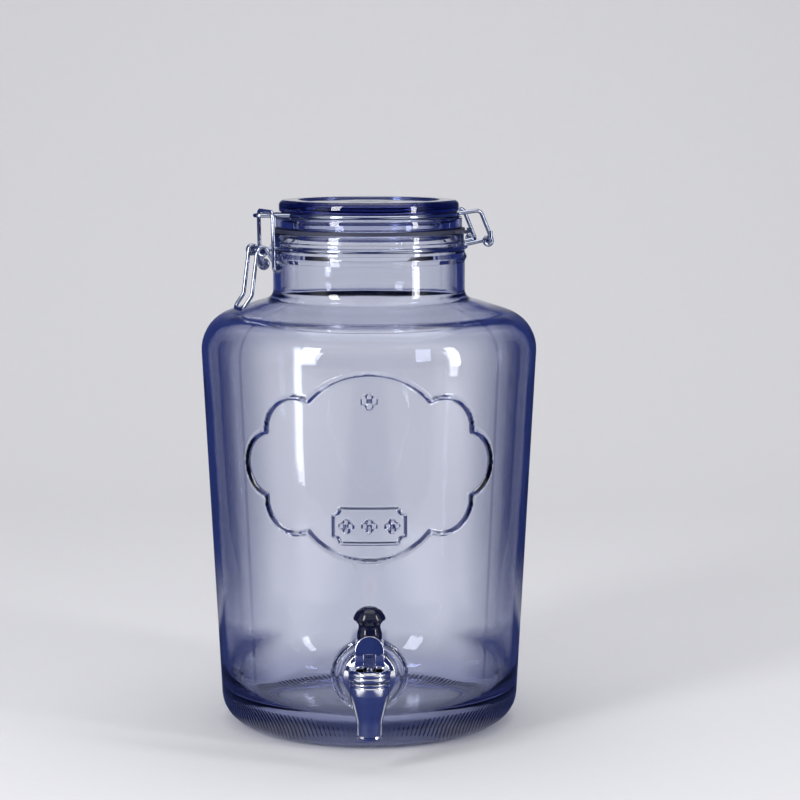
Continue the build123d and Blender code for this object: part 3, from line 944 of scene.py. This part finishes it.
# ------------------------------------------------------------------ wire clip
@dataclass
class Clip:
    """The wire clip: ring on the neck, ring on the lid, coiled lever and link."""

    plating: bpy.types.Material
    turn: float = 199.0
    wire: float = 1.25
    loop: float = 2.58
    eye_turn: float = 290.0
    neck_ring: float = 60.9
    neck_height: float = 300.8
    lid_ring: float = 56.2
    lid_height: float = 321.15
    lever_pivot: Point = (73.0, 299.5)
    link_pivot: Point = (64.2, 290.0)
    hinge_pivot: Point = (-74.5, 303.5)
    pivot_leg: float = 4.12
    pivot_end: float = 13.15
    hinge_leg: float = 8.0
    hinge_eye: float = 15.0
    hinge_end: float = 19.0
    hinge_stub: float = 6.5
    coil_start: float = 9.0
    coil_pitch: float = 2.52
    stub_end: float = 16.95
    handle_bend: Point = (79.2, 272.46)
    handle_end: Point = (85.2, 263.92)
    link_half: float = 15.0
    link_bar: Point = (67.4, 323.7)
    nose_tip: float = 80.0
    nose_half: float = 12.0
    bracket: Point = (-69.0, 322.75)
    sides: int = 14

    def build(self) -> None:
        """Build the clip's four wires."""
        self.neck_wire()
        self.lid_wire()
        self.lever()
        self.link()

    def tangent(self, pivot: Point, target: Point, side: int) -> float:
        """Angle on a loop round a pivot where a straight run to a target leaves it.

        Args:
            pivot: the loop's middle, out and up.
            target: the point that the run goes to.
            side: 1 or -1, which of the two tangents.

        Returns:
            The angle in radians, from straight out towards up.
        """
        run, rise = target[0] - pivot[0], target[1] - pivot[1]
        return math.atan2(rise, run) + side * math.acos(self.loop / math.hypot(run, rise))

    def coil(self, pivot: Point, start: float, end: float, near: float, far: float) -> list[Vector]:
        """Points of a helix round a pivot.

        Args:
            pivot: the helix's middle, out and up.
            start: its first angle.
            end: its last angle.
            near: its first place across.
            far: its last place across.

        Returns:
            The points, about 12 degrees apart.
        """
        steps = max(2, int(abs(end - start) / COIL_STEP))
        points = []
        for step in range(steps + 1):
            share = step / steps
            angle = start + (end - start) * share
            out = pivot[0] + self.loop * math.cos(angle)
            up = pivot[1] + self.loop * math.sin(angle)
            points.append(Vector((out, near + (far - near) * share, up)))
        return points

    @staticmethod
    def bent(points: Sequence[Vector], bends: Sequence[float], steps: int = 6) -> list[Vector]:
        """Round the inner corners of a path with arcs.

        Args:
            points: the path's corners.
            bends: the radius at each inner corner.
            steps: pieces of each arc.

        Returns:
            The rounded path.
        """
        path = [points[0]]
        for before, here, after, bend in zip(points, points[1:], points[2:], bends):
            back, ahead = (before - here).normalized(), (after - here).normalized()
            half = back.angle(ahead) / 2
            centre = here + (back + ahead).normalized() * (bend / math.sin(half))
            start = (here + back * (bend / math.tan(half)) - centre).normalized()
            end = (here + ahead * (bend / math.tan(half)) - centre).normalized()
            for step in range(steps + 1):
                path.append(centre + start.slerp(end, step / steps) * bend)
        return path + [points[-1]]

    def tube(self, points: Sequence[Vector]) -> bpy.types.Object:
        """Draw a round wire along a path.

        Args:
            points: the path in the clip's own frame, in millimetres.

        Returns:
            The wire, with flat closed ends.
        """
        obj = draw_chain("wire", [point * MM for point in points])
        bpy.ops.object.mode_set(mode="OBJECT")
        bpy.ops.object.convert(target="CURVE")
        line = bpy.context.object.data
        line.dimensions = "3D"
        line.bevel_depth = self.wire * MM
        line.bevel_resolution = self.sides // 2 - 2
        line.use_fill_caps = True
        bpy.ops.object.convert(target="MESH")
        return bpy.context.object

    def ring(self, radius: float, height: float) -> bpy.types.Object:
        """Closed ring of wire round the jar's axis."""
        deselect_all()
        bpy.ops.mesh.primitive_torus_add(
            major_radius=radius * MM, minor_radius=self.wire * MM, major_segments=180,
            minor_segments=self.sides, location=(0, 0, height * MM))
        bpy.ops.object.transform_apply(location=True, rotation=True, scale=True)
        return bpy.context.object

    def join(self, name: str, wires: Sequence[bpy.types.Object], body: str, node: str) -> None:
        """Join wires into one piece, turn it to its place and dress it.

        Args:
            name: the piece's name.
            wires: the wires.
            body: the body that it rides on.
            node: the frame's node that it stands for.
        """
        deselect_all()
        for part in wires:
            part.select_set(True)
        bpy.context.view_layer.objects.active = wires[0]
        if len(wires) > 1:
            bpy.ops.object.join()
        obj = adopt(name)
        obj.rotation_euler = (0, 0, math.radians(self.turn))
        bpy.ops.object.transform_apply(location=True, rotation=True, scale=True)
        bpy.ops.object.mode_set(mode="EDIT")
        close_shell(obj, 50.0)
        dress(obj, self.plating, body, Slot.WIRE, node)

    def neck_wire(self) -> None:
        """Ring on the neck with the lever's pivots and the hinge bar."""
        wires = [self.ring(self.neck_ring, self.neck_height)]
        out, up = self.lever_pivot
        back, rise = self.hinge_pivot
        for side in (-1, 1):
            leg, start = self.pivot_leg * side, math.sqrt(self.neck_ring**2 - self.pivot_leg**2)
            wires.append(self.tube(self.bent([
                Vector((start, leg, self.neck_height)), Vector((out, leg, up)),
                Vector((out, self.pivot_end * side, up))], [2.0])))
            leg, start = self.hinge_leg * side, math.sqrt(self.neck_ring**2 - self.hinge_leg**2)
            end = self.hinge_end * side
            wires.append(self.tube(self.bent([
                Vector((-start, leg, self.neck_height)), Vector((back, leg, rise)),
                Vector((back, end, rise)), Vector((back, end, rise + self.hinge_stub))], [2.0, 2.0])))
        self.join("neck_ring_wire", wires, "jar", "neck_wire")

    def lid_wire(self) -> None:
        """Ring on the lid with its nose and the two hinge eyes."""
        foot = math.sqrt(self.lid_ring**2 - self.nose_half**2)
        wires = [self.ring(self.lid_ring, self.lid_height), self.tube(self.bent([
            Vector((foot, -self.nose_half, self.lid_height)),
            Vector((self.nose_tip, 0, self.lid_height)),
            Vector((foot, self.nose_half, self.lid_height))], [4.5], 10))]
        angle = self.tangent(self.hinge_pivot, self.bracket, 1)
        start = -math.sqrt(self.lid_ring**2 - self.hinge_eye**2)
        for side in (-1, 1):
            across = self.hinge_eye * side
            eye = self.coil(self.hinge_pivot, angle, angle + math.radians(self.eye_turn), across, across)
            wires.append(self.tube(self.bent([
                Vector((start, across, self.lid_height)),
                Vector((self.bracket[0], across, self.bracket[1])), eye[0]], [4.0]) + eye[1:]))
        self.join("lid_ring_wire", wires, "lid", "lid_wire")

    def lever(self) -> None:
        """One wire: stub, arm, coil, finger loop, coil, arm and stub."""
        leave = self.tangent(self.lever_pivot, self.handle_bend, 1)
        enter = self.tangent(self.lever_pivot, self.link_pivot, -1)
        while enter < leave + math.radians(330):
            enter += 2 * math.pi
        arm = self.coil_start + self.coil_pitch * (enter - leave) / (2 * math.pi)
        x, z = self.link_pivot
        half = []
        for side in (-1, 1):
            turns = self.coil(self.lever_pivot, enter, leave, arm * side, self.coil_start * side)
            half.append(self.bent([
                Vector((x, self.stub_end * side, z)), Vector((x, arm * side, z)), turns[0]],
                [1.6]) + turns[1:])
        (bx, bz), (ex, ez), c = self.handle_bend, self.handle_end, self.coil_start
        loop = self.bent([
            half[0][-1], Vector((bx, -c, bz)), Vector((ex, -c, ez)), Vector((ex, c, ez)),
            Vector((bx, c, bz)), half[1][-1]], [5.0, 4.0, 4.0, 5.0], 8)
        wires = [self.tube(half[0] + loop[1:-1] + half[1][::-1])]
        self.join("lever_wire", wires, "clasp_lever", "clasp_lever")

    def link(self) -> None:
        """One wire: eye, leg, bar, leg and eye."""
        angle = self.tangent(self.link_pivot, self.link_bar, -1)
        (x, z), y = self.link_bar, self.link_half
        eyes = [self.coil(self.link_pivot, angle - math.radians(self.eye_turn), angle, y * side, y * side)
                for side in (-1, 1)]
        loop = self.bent([
            eyes[0][-1], Vector((x, -y, z)), Vector((x, y, z)), eyes[1][-1]], [3.6, 3.6], 8)
        wires = [self.tube(eyes[0] + loop[1:-1] + eyes[1][::-1])]
        self.join("link_wire", wires, "clasp_link", "clasp_link")


# ------------------------------------------------------------------ tap
@dataclass
class Tap:
    """The chrome tap: cast body on its threaded shank, bonnet nut, lever and black knob."""

    chrome: bpy.types.Material
    rubber: bpy.types.Material
    knob: bpy.types.Material
    height: float = 48.7
    barrel_reach: float = 132.986
    shank_radius: float = 7.9
    shank_tail: float = 76.386
    collar_reach: float = 102.186
    collar_radius: float = 10.6
    tube_radius: float = 5.6
    bore_radius: float = 3.7
    barrel_radius: float = 11.9
    barrel_top: float = 54.4
    outlet_height: float = 20.0
    nozzle_radius: float = 7.7
    nozzle_bore: float = 5.4
    chamber_radius: float = 8.0
    seat_height: float = 43.6
    bore_segments: int = 61
    thread_pitch: float = 1.5
    thread_depth: float = 0.7
    washer_reach: float = 96.786
    washer_radius: float = 15.0
    flange_radius: float = 16.0
    flange_reach: float = 98.786
    cap_foot: float = 52.4
    cap_low: float = 55.4
    cap_top: float = 61.6
    cap_radius: float = 12.49
    stem_bore: float = 2.6
    pin_height: float = 68.4
    pin_radius: float = 1.6
    yoke_width: float = 17.0
    yoke_top: float = 83.0
    yoke_front: float = 9.0
    yoke_back: float = 7.0
    cam_reach: float = 6.55
    cam_rate: float = 3.8197
    cam_turn: float = 75.0
    slot_width: float = 6.6
    slot_end: float = 4.1
    knob_top: float = 98.8
    knob_radius: float = 9.4
    knob_waist: float = 6.2
    saddle_gap: float = 0.06

    def build(self) -> None:
        """Build the tap's pieces in order from the jar outwards."""
        self.washer()
        self.flange()
        self.body()
        self.bonnet()
        self.lever()
        self.handle_knob()

    def on_shank(self) -> Vector:
        """The point on the jar's axis that the shank points away from."""
        return Vector((0.0, 0.0, self.height * MM))

    def on_barrel(self) -> Vector:
        """The foot of the barrel's axis."""
        return Vector((0.0, -self.barrel_reach * MM, 0.0))

    def washer(self) -> None:
        """Rubber washer, slightly squeezed out at its edge."""
        low, high, r = self.washer_reach, self.flange_reach, self.washer_radius
        outline = rounded([
            (self.shank_radius + 0.1, low, 0), (r - 0.4, low, 0.3), (r, (low + high) / 2, 1.2),
            (r - 0.4, high, 0.3), (self.shank_radius + 0.1, high, 0)])
        obj = spun("outer_washer_rubber", outline + outline[:1], self.on_shank(), Axis.FORWARD)
        dress(obj, self.rubber, "jar", Slot.RUBBER, "outer_washer")

    def flange(self) -> None:
        """Chrome flange with a rolled edge and a shallow step."""
        low, high = self.flange_reach, self.collar_reach
        hole, r, step = self.shank_radius + 0.1, self.flange_radius, self.collar_radius + 2.2
        outline = rounded([
            (hole, low, 0), (r - 0.3, low, 0.3), (r, low + 0.6, 0.4), (r - 0.5, low + 1.5, 0.6),
            (step, high - 0.9, 0.8), (step - 0.8, high, 0.5), (hole, high, 0)])
        obj = spun("flange_chrome", outline + outline[:1], self.on_shank(), Axis.FORWARD, 128)
        dress(obj, self.chrome, "jar", Slot.CHROME, "escutcheon")

    def body(self) -> None:
        """Cast body: threaded shank, collar, tube, barrel and nozzle, bored through."""
        shank = spun("tap_casting", rounded([
            (0, self.shank_tail, 0), (self.shank_radius - self.thread_depth, self.shank_tail, 0.6),
            (self.shank_radius - self.thread_depth, self.collar_reach - 4.0, 0),
            (self.shank_radius, self.collar_reach - 4.0, 0), (self.shank_radius, self.collar_reach, 0),
            (self.collar_radius, self.collar_reach, 0.4),
            (self.collar_radius, self.collar_reach + 2.6, 1.0),
            (self.collar_radius - 1.6, self.collar_reach + 4.0, 1.2),
            (self.tube_radius, self.collar_reach + 7.5, 3.0),
            (self.tube_radius, self.barrel_reach, 0), (0, self.barrel_reach, 0)], 8),
            self.on_shank(), Axis.FORWARD, 96)
        barrel = spun("barrel", rounded([
            (0, self.outlet_height, 0), (self.nozzle_radius - 0.5, self.outlet_height, 0.4),
            (self.nozzle_radius, self.outlet_height + 0.8, 0.5),
            (self.nozzle_radius - 0.35, self.outlet_height + 2.2, 0.8),
            (self.nozzle_radius - 0.1, 31.0, 20.0), (self.barrel_radius - 0.9, 43.0, 14.0),
            (self.barrel_radius, 47.0, 3.0), (self.barrel_radius, 51.6, 0.5),
            (self.barrel_radius - 0.5, 52.1, 0.3), (self.barrel_radius - 0.5, 52.7, 0.3),
            (self.barrel_radius, 53.2, 0.4), (self.barrel_radius, self.barrel_top, 0.4),
            (0, self.barrel_top, 0)], 8), self.on_barrel(), Axis.UP, 128)
        cut(shank, barrel, "UNION")
        bores = (
            (self.bore_radius, self.shank_tail - 1.0, self.barrel_reach + 2.0, Axis.FORWARD),
            (self.chamber_radius, self.seat_height, self.barrel_top + 1.0, Axis.UP),
            (self.nozzle_bore, self.outlet_height - 1.0, self.seat_height + 1.0, Axis.UP),
        )
        for radius, low, high, axis in bores:
            start = self.on_barrel() if axis is Axis.UP else self.on_shank()
            outline = [(0, low), (radius, low), (radius, high), (0, high)]
            cut(shank, spun("bore", outline, start, axis, self.bore_segments))
        smooth(shank, 32.0)
        dress(shank, self.chrome, "jar", Slot.CHROME, "tap_body")
        self.thread()

    def thread(self) -> None:
        """Helical thread ridge round the shank, closed at both ends."""
        turns = int((self.collar_reach - 5.5 - self.shank_tail) / self.thread_pitch)
        root = self.shank_radius - self.thread_depth - 0.2
        half = 0.42 * self.thread_pitch
        low = self.shank_tail + 1.0
        corners = [(root, low - half), (self.shank_radius, low), (root, low + half)]
        obj = draw_chain("shank_thread", [Vector((r * MM, 0, z * MM)) for r, z in corners])
        bpy.ops.mesh.select_all(action="SELECT")
        bpy.ops.mesh.edge_face_add()
        bpy.ops.mesh.delete(type="ONLY_FACE")
        bpy.ops.object.mode_set(mode="OBJECT")
        screw = obj.modifiers.new("screw", "SCREW")
        screw.steps = screw.render_steps = 48
        screw.iterations = turns
        screw.screw_offset = self.thread_pitch * MM
        screw.angle = 2 * math.pi
        apply_modifier(obj, "screw")
        bpy.ops.object.mode_set(mode="EDIT")
        bpy.ops.mesh.select_all(action="DESELECT")
        bpy.ops.mesh.select_non_manifold()
        bpy.ops.mesh.edge_face_add()
        bpy.ops.mesh.select_all(action="SELECT")
        bpy.ops.transform.rotate(
            value=-math.pi / 2, orient_axis="X", orient_type="GLOBAL", center_override=(0, 0, 0))
        bpy.ops.transform.translate(value=self.on_shank())
        close_shell(obj, 35.0)
        dress(obj, self.chrome, "jar", Slot.CHROME, "tap_body")

    def bonnet(self) -> None:
        """Bonnet nut: spigot, skirt, groove, turned shoulder and stem bore."""
        r, top, foot = self.cap_radius, self.cap_top, self.cap_foot
        outline = rounded([
            (6.2, foot, 0), (7.9, foot, 0.3), (7.9, self.cap_low, 0), (r - 0.3, self.cap_low, 0.3),
            (r, self.cap_low + 0.5, 0.3), (r, self.cap_low + 2.0, 0.4), (r - 0.45, self.cap_low + 2.4, 0.2),
            (r - 0.45, self.cap_low + 2.8, 0.2), (r, self.cap_low + 3.2, 0.4), (r, top - 1.4, 0.6),
            (r - 1.3, top - 0.1, 0.6), (r - 3.2, top, 0.5), (self.stem_bore, top, 0.2),
            (self.stem_bore, top - 2.8, 0), (6.2, top - 2.8, 0.3), (6.2, foot, 0)], 5)
        obj = spun("bonnet_nut_chrome", outline, self.on_barrel(), Axis.UP, 128)
        dress(obj, self.chrome, "jar", Slot.CHROME, "bonnet_nut")

    def lever(self) -> None:
        """Forked lever: arched front view cut to the cam's side view, with soft edges."""
        half, front, back = self.yoke_width / 2, self.yoke_front, self.yoke_back
        arch = archway(half, self.yoke_top, self.pin_height - 14.0, 24)
        obj = self.slab("lever_casting", [Vector((x, -20, z)) for x, z in arch], Vector((0, 40, 0)))
        side: list[Point] = []
        for step in range(13):
            turn = math.radians(self.cam_turn) * step / 12
            out = self.cam_reach + self.cam_rate * turn
            side.append((-out * math.sin(turn) - self.cam_rate * math.cos(turn),
                         -out * math.cos(turn) + self.cam_rate * math.sin(turn)))
        rise = self.yoke_top + 1.0 - self.pin_height
        side += [(-front, rise), (back, rise), (back, side[0][1] + 1.5), (back - 1.5, side[0][1])]
        view = self.slab("side_view", [Vector((-20, y, z + self.pin_height)) for y, z in side],
                         Vector((40, 0, 0)))
        cut(obj, view, "INTERSECT")
        reach = self.slot_end
        slot = [(-30, -30), (reach, -30), (reach, reach - 1.2), (reach - 1.2, reach), (-30, reach)]
        width = self.slot_width
        fork = self.slab("slot", [Vector((-width / 2, y, z + self.pin_height)) for y, z in slot],
                         Vector((width, 0, 0)))
        cut(obj, fork)
        soften = obj.modifiers.new("soften", "BEVEL")
        soften.width = 0.45 * MM
        soften.segments = 3
        soften.limit_method = "ANGLE"
        soften.angle_limit = math.radians(40.0)
        apply_modifier(obj, "soften")
        hole = self.round_bar("pin_hole", self.pin_radius, 30.0)
        cut(obj, hole)
        smooth(obj, 30.0)
        shift(obj, self.on_barrel())
        dress(obj, self.chrome, "tap_handle", Slot.CHROME, "tap_lever")
        pin = self.round_bar("lever_pin_steel", self.pin_radius - 0.1, self.yoke_width + 0.9, 0.35)
        shift(pin, self.on_barrel())
        dress(pin, self.chrome, "tap_handle", Slot.STEEL, "lever_pin")

    def slab(self, name: str, corners: list[Vector], depth: Vector) -> bpy.types.Object:
        """Extrude a flat outline into a solid.

        Args:
            name: the piece's name.
            corners: the outline in millimetres, about the barrel's axis.
            depth: how far and which way it is extruded.

        Returns:
            The piece.
        """
        obj = draw_chain(name, [corner * MM for corner in corners])
        bpy.ops.mesh.select_all(action="SELECT")
        bpy.ops.mesh.edge_face_add()
        bpy.ops.mesh.extrude_region_move(TRANSFORM_OT_translate={"value": depth * MM})
        return close_shell(obj)

    def round_bar(
        self, name: str, radius: float, length: float, chamfer: float = 0.0
    ) -> bpy.types.Object:
        """Bar along X through the lever's pin, about the barrel's axis.

        Args:
            name: the piece's name.
            radius: its radius.
            length: its length.
            chamfer: the bevel of its ends.

        Returns:
            The piece.
        """
        deselect_all()
        bpy.ops.mesh.primitive_cylinder_add(
            vertices=48, radius=radius * MM, depth=length * MM,
            location=(0, 0, self.pin_height * MM), rotation=(0, math.pi / 2, 0))
        obj = adopt(name)
        bpy.ops.object.transform_apply(location=True, rotation=True, scale=True)
        if chamfer:
            soften = obj.modifiers.new("soften", "BEVEL")
            soften.width = chamfer * MM
            soften.segments = 3
            soften.limit_method = "ANGLE"
            apply_modifier(obj, "soften")
            smooth(obj, 35.0)
        return obj

    def handle_knob(self) -> None:
        """Black knob: domed cap, narrow waist and a foot that saddles the lever's arch."""
        waist, r, top = self.knob_waist, self.knob_radius, self.knob_top
        foot = self.yoke_top - 3.6
        outline = rounded([
            (0, foot, 0), (7.4, foot, 0.5), (7.3, self.yoke_top + 0.4, 1.5),
            (waist, self.yoke_top + 3.8, 5.0), (waist + 0.5, self.yoke_top + 5.6, 2.0),
            (r - 0.9, self.yoke_top + 7.9, 1.5), (r, self.yoke_top + 8.3, 0.4),
            (r, self.yoke_top + 9.6, 1.4), (r - 1.8, top - 2.8, 4.5), (r - 5.5, top - 0.2, 6.0),
            (0, top, 0)], 8)
        centre = self.on_barrel() + Vector((0, (self.yoke_back - self.yoke_front) / 2 * MM, 0))
        obj = spun("lever_knob_black", outline, centre, Axis.UP, 96)
        half = self.yoke_width / 2 + self.saddle_gap
        arch = archway(half, self.yoke_top + self.saddle_gap, foot - 2.0, 32)
        start = -self.barrel_reach - 15.0
        cut(obj, self.slab("saddle", [Vector((x, start, z)) for x, z in arch], Vector((0, 30, 0))))
        smooth(obj, 40.0)
        dress(obj, self.knob, "tap_handle", Slot.KNOB, "lever_knob")


@dataclass
class ValveSpring:
    """Coil spring of the valve, wound at one length; the real one shortens as the stem lifts, this one does
    not.
    """

    steel: bpy.types.Material
    wire: float = 0.4
    turns: int = 4
    lift: float = 5.0

    def build(self) -> None:
        """Wind the spring in its node's place, from its lower end, and let it ride on the jar."""
        low, high = (Vector(corner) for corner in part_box("return_spring"))
        wire, tall = self.wire * MM, high.z - low.z
        place = Vector(((low.x + high.x) / 2, (low.y + high.y) / 2, low.z + wire))
        deselect_all()
        bpy.ops.mesh.primitive_circle_add(
            vertices=12, radius=wire, location=((high.x - low.x) / 2 - wire, 0, 0),
            rotation=(math.pi / 2, 0, 0))
        obj = adopt("return_spring_wire")
        bpy.ops.object.transform_apply(location=True, rotation=True, scale=True)
        wind = obj.modifiers.new("wind", "SCREW")
        wind.steps = wind.render_steps = 32
        wind.iterations = self.turns
        wind.screw_offset = (tall - 2 * wire) / self.turns
        apply_modifier(obj, "wind")
        bpy.ops.object.mode_set(mode="EDIT")
        bpy.ops.mesh.select_all(action="SELECT")
        bpy.ops.mesh.fill_holes(sides=0)
        bpy.ops.mesh.select_all(action="SELECT")
        bpy.ops.transform.translate(value=place)
        close_shell(obj, 50.0)
        dress(obj, self.steel, "jar", Slot.STEEL, "return_spring")
        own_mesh(obj)


# ------------------------------------------------------------------ studio
@dataclass
class Studio:
    """Pale floor, soft light, dark cards beside the glass, and the camera."""

    target: Vector = field(default_factory=lambda: Vector((0.0195, 0.0, 0.2035)))
    distance: float = 1.54
    camera_height: float = 0.395
    lens: float = 110.5
    sensor: float = 36.0
    paper: Paper = field(default_factory=Paper)

    def build(self) -> None:
        """Set up everything that isn't the object."""
        self.floor()
        self.light()
        self.camera()

    def floor(self) -> None:
        """Lay a floor that sweeps up into the backdrop."""
        deselect_all()
        bpy.ops.mesh.primitive_plane_add(size=1.0)
        obj = adopt("floor")
        bpy.ops.object.mode_set(mode="EDIT")
        bpy.ops.transform.resize(value=(14.0, 12.0, 1.0), center_override=(0, 0, 0))
        bpy.ops.transform.translate(value=(0, -4.0, -0.0002))
        self.pick_back(obj, 1.99)
        bpy.ops.mesh.extrude_region_move(TRANSFORM_OT_translate={"value": (0, 0, 4.0)})
        self.pick_back(obj, 1.99, 1.0)
        bpy.ops.mesh.select_mode(type="EDGE")
        bpy.ops.mesh.bevel(offset=1.2, segments=24, affect="EDGES")
        bpy.ops.mesh.select_all(action="SELECT")
        bpy.ops.mesh.normals_make_consistent(inside=False)
        bpy.ops.object.mode_set(mode="OBJECT")
        bpy.ops.object.shade_smooth()
        obj.data.materials.append(self.paper.make())

    @staticmethod
    def pick_back(obj: bpy.types.Object, y: float, top: float = 9.0) -> None:
        """Select a piece's vertices behind a line and below a height, in edit mode."""
        bpy.ops.mesh.select_mode(type="VERT")
        bpy.ops.mesh.select_all(action="DESELECT")
        bpy.ops.object.mode_set(mode="OBJECT")
        for vertex in obj.data.vertices:
            vertex.select = vertex.co.y > y and vertex.co.z < top
        bpy.ops.object.mode_set(mode="EDIT")

    def light(self) -> None:
        """World, soft boxes, and the dark cards that darken the glass's edges, heel and tap."""
        world = bpy.data.worlds.new("studio")
        world.use_nodes = True
        background = world.node_tree.nodes["Background"]
        background.inputs["Color"].default_value = WORLD_COLOUR
        background.inputs["Strength"].default_value = 0.85
        bpy.context.scene.world = world
        bpy.context.scene.view_settings.view_transform = "Standard"
        self.panel("window_left", (-0.80, -0.90, 0.62), (0.26, 0.80), 10.0)
        self.panel("window_right", (0.95, -0.60, 0.45), (0.14, 0.80), 5.0)
        self.panel("overhead", (0.1, 0.4, 1.9), (1.6, 1.6), 10.0)
        for side, label in ((-1, "left"), (1, "right")):
            self.card(f"card_side_{label}", (0.32 * side, 0.30, 0.40), (1.00, 0.92), 90.0)
            self.card(f"card_back_{label}", (0.34 * side, 0.22, 0.40), (0.54, 0.92), 0.0)
            self.card(f"card_foot_{label}", (0.31 * side, 0.06, 0.001), (0.40, 0.40), 0.0, 0.0)
            self.card(f"card_heel_{label}", (0.21 * side, 0.02, -0.0001), (0.30, 0.50), 0.0, 0.0)
        self.card("card_high", (0.0, 0.55, 0.68), (1.6, 0.64), 0.0)
        self.card("card_front", (0.0, -1.25, 0.35), (3.6, 1.1), 0.0)
        self.card("card_low", (0.0, -0.66, 0.001), (0.50, 1.14), 0.0, 0.0, (0.22, 0.02))

    def panel(
        self, name: str, place: tuple[float, float, float], size: Point, power: float
    ) -> None:
        """Add a soft box that faces the object.

        Args:
            name: the light's name.
            place: where it stands.
            size: its width and height in metres.
            power: watts.
        """
        data = bpy.data.lights.new(name, "AREA")
        data.shape = "RECTANGLE"
        data.size, data.size_y = size
        data.energy = power
        obj = bpy.data.objects.new(name, data)
        obj.location = place
        obj.rotation_euler = (self.target - Vector(place)).to_track_quat("-Z", "Y").to_euler()
        bpy.context.scene.collection.objects.link(obj)

    def card(
        self, name: str, place: tuple[float, float, float], size: Point, turn: float,
        lean: float = 90.0, fade: Point = (0.12, 0.12),
    ) -> None:
        """Stand a dark card with faded edges by the object, which only glass and chrome see.

        Args:
            name: the card's name.
            place: its middle.
            size: its width and height in metres.
            turn: degrees about the vertical; 0 faces the front.
            lean: degrees from lying flat.
            fade: how far its sides and its ends fade out, from 0 to 0.25 for the middle.
        """
        deselect_all()
        rotation = (math.radians(lean), 0, math.radians(turn))
        bpy.ops.mesh.primitive_plane_add(size=1.0, location=place, rotation=rotation)
        obj = adopt(name)
        bpy.ops.transform.resize(value=(size[0], size[1], 1.0), orient_type="LOCAL")
        shader = Shader(name)
        x, y, _ = shader.axes()
        cover = (0.25 - x * x).ramp(0.0, fade[0]) * (0.25 - y * y).ramp(0.0, fade[1])
        shader.set(Base_Color=CARD_COLOUR, Roughness=0.9, Alpha=cover)
        obj.data.materials.append(shader.material)
        obj.visible_camera = False
        obj.visible_diffuse = False
        obj.visible_shadow = False

    def camera(self) -> None:
        """Place the camera."""
        data = bpy.data.cameras.new("camera")
        data.lens = self.lens
        data.sensor_width = self.sensor
        obj = bpy.data.objects.new("camera", data)
        obj.location = (0.0, -self.distance, self.camera_height)
        aim = self.target - obj.location
        obj.rotation_euler = aim.to_track_quat("-Z", "Y").to_euler()
        bpy.context.scene.collection.objects.link(obj)
        bpy.context.scene.camera = obj


def main() -> None:
    """Build every sub-assembly in order."""
    logging.basicConfig(level=logging.INFO, format="%(name)s: %(message)s")
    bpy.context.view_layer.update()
    Jar(PressedGlass("jar_glass", foot_stipple=150)).build()
    Lid(PressedGlass("lid_glass", wave_depth=0.0002)).build()
    wire = Plating("clip_wire", (0.46, 0.50, 0.60, 1.0), (0.34, 0.38, 0.50, 1.0)).make()
    chrome = Plating("tap_chrome", roughness=0.04).make()
    rubber = Rubber("dark_rubber").make()
    steel = Plating("inner_steel", colour=(0.55, 0.56, 0.6, 1.0), roughness=0.2).make()
    knob = Knob("black_knob").make()
    finishes = {
        Slot.WIRE.value: wire, Slot.CHROME.value: chrome, Slot.RUBBER.value: rubber,
        Slot.STEEL.value: steel, Slot.KNOB.value: knob,
    }
    for row in frame["record"]["subparts"]:
        if row["material_slot"] in finishes and row["node"] not in MODELLED:
            paint_node(row["node"], finishes[row["material_slot"]])
    Clip(wire).build()
    Tap(chrome, rubber, knob).build()
    ValveSpring(steel).build()
    Studio().build()


if __name__ == "__main__":
    main()
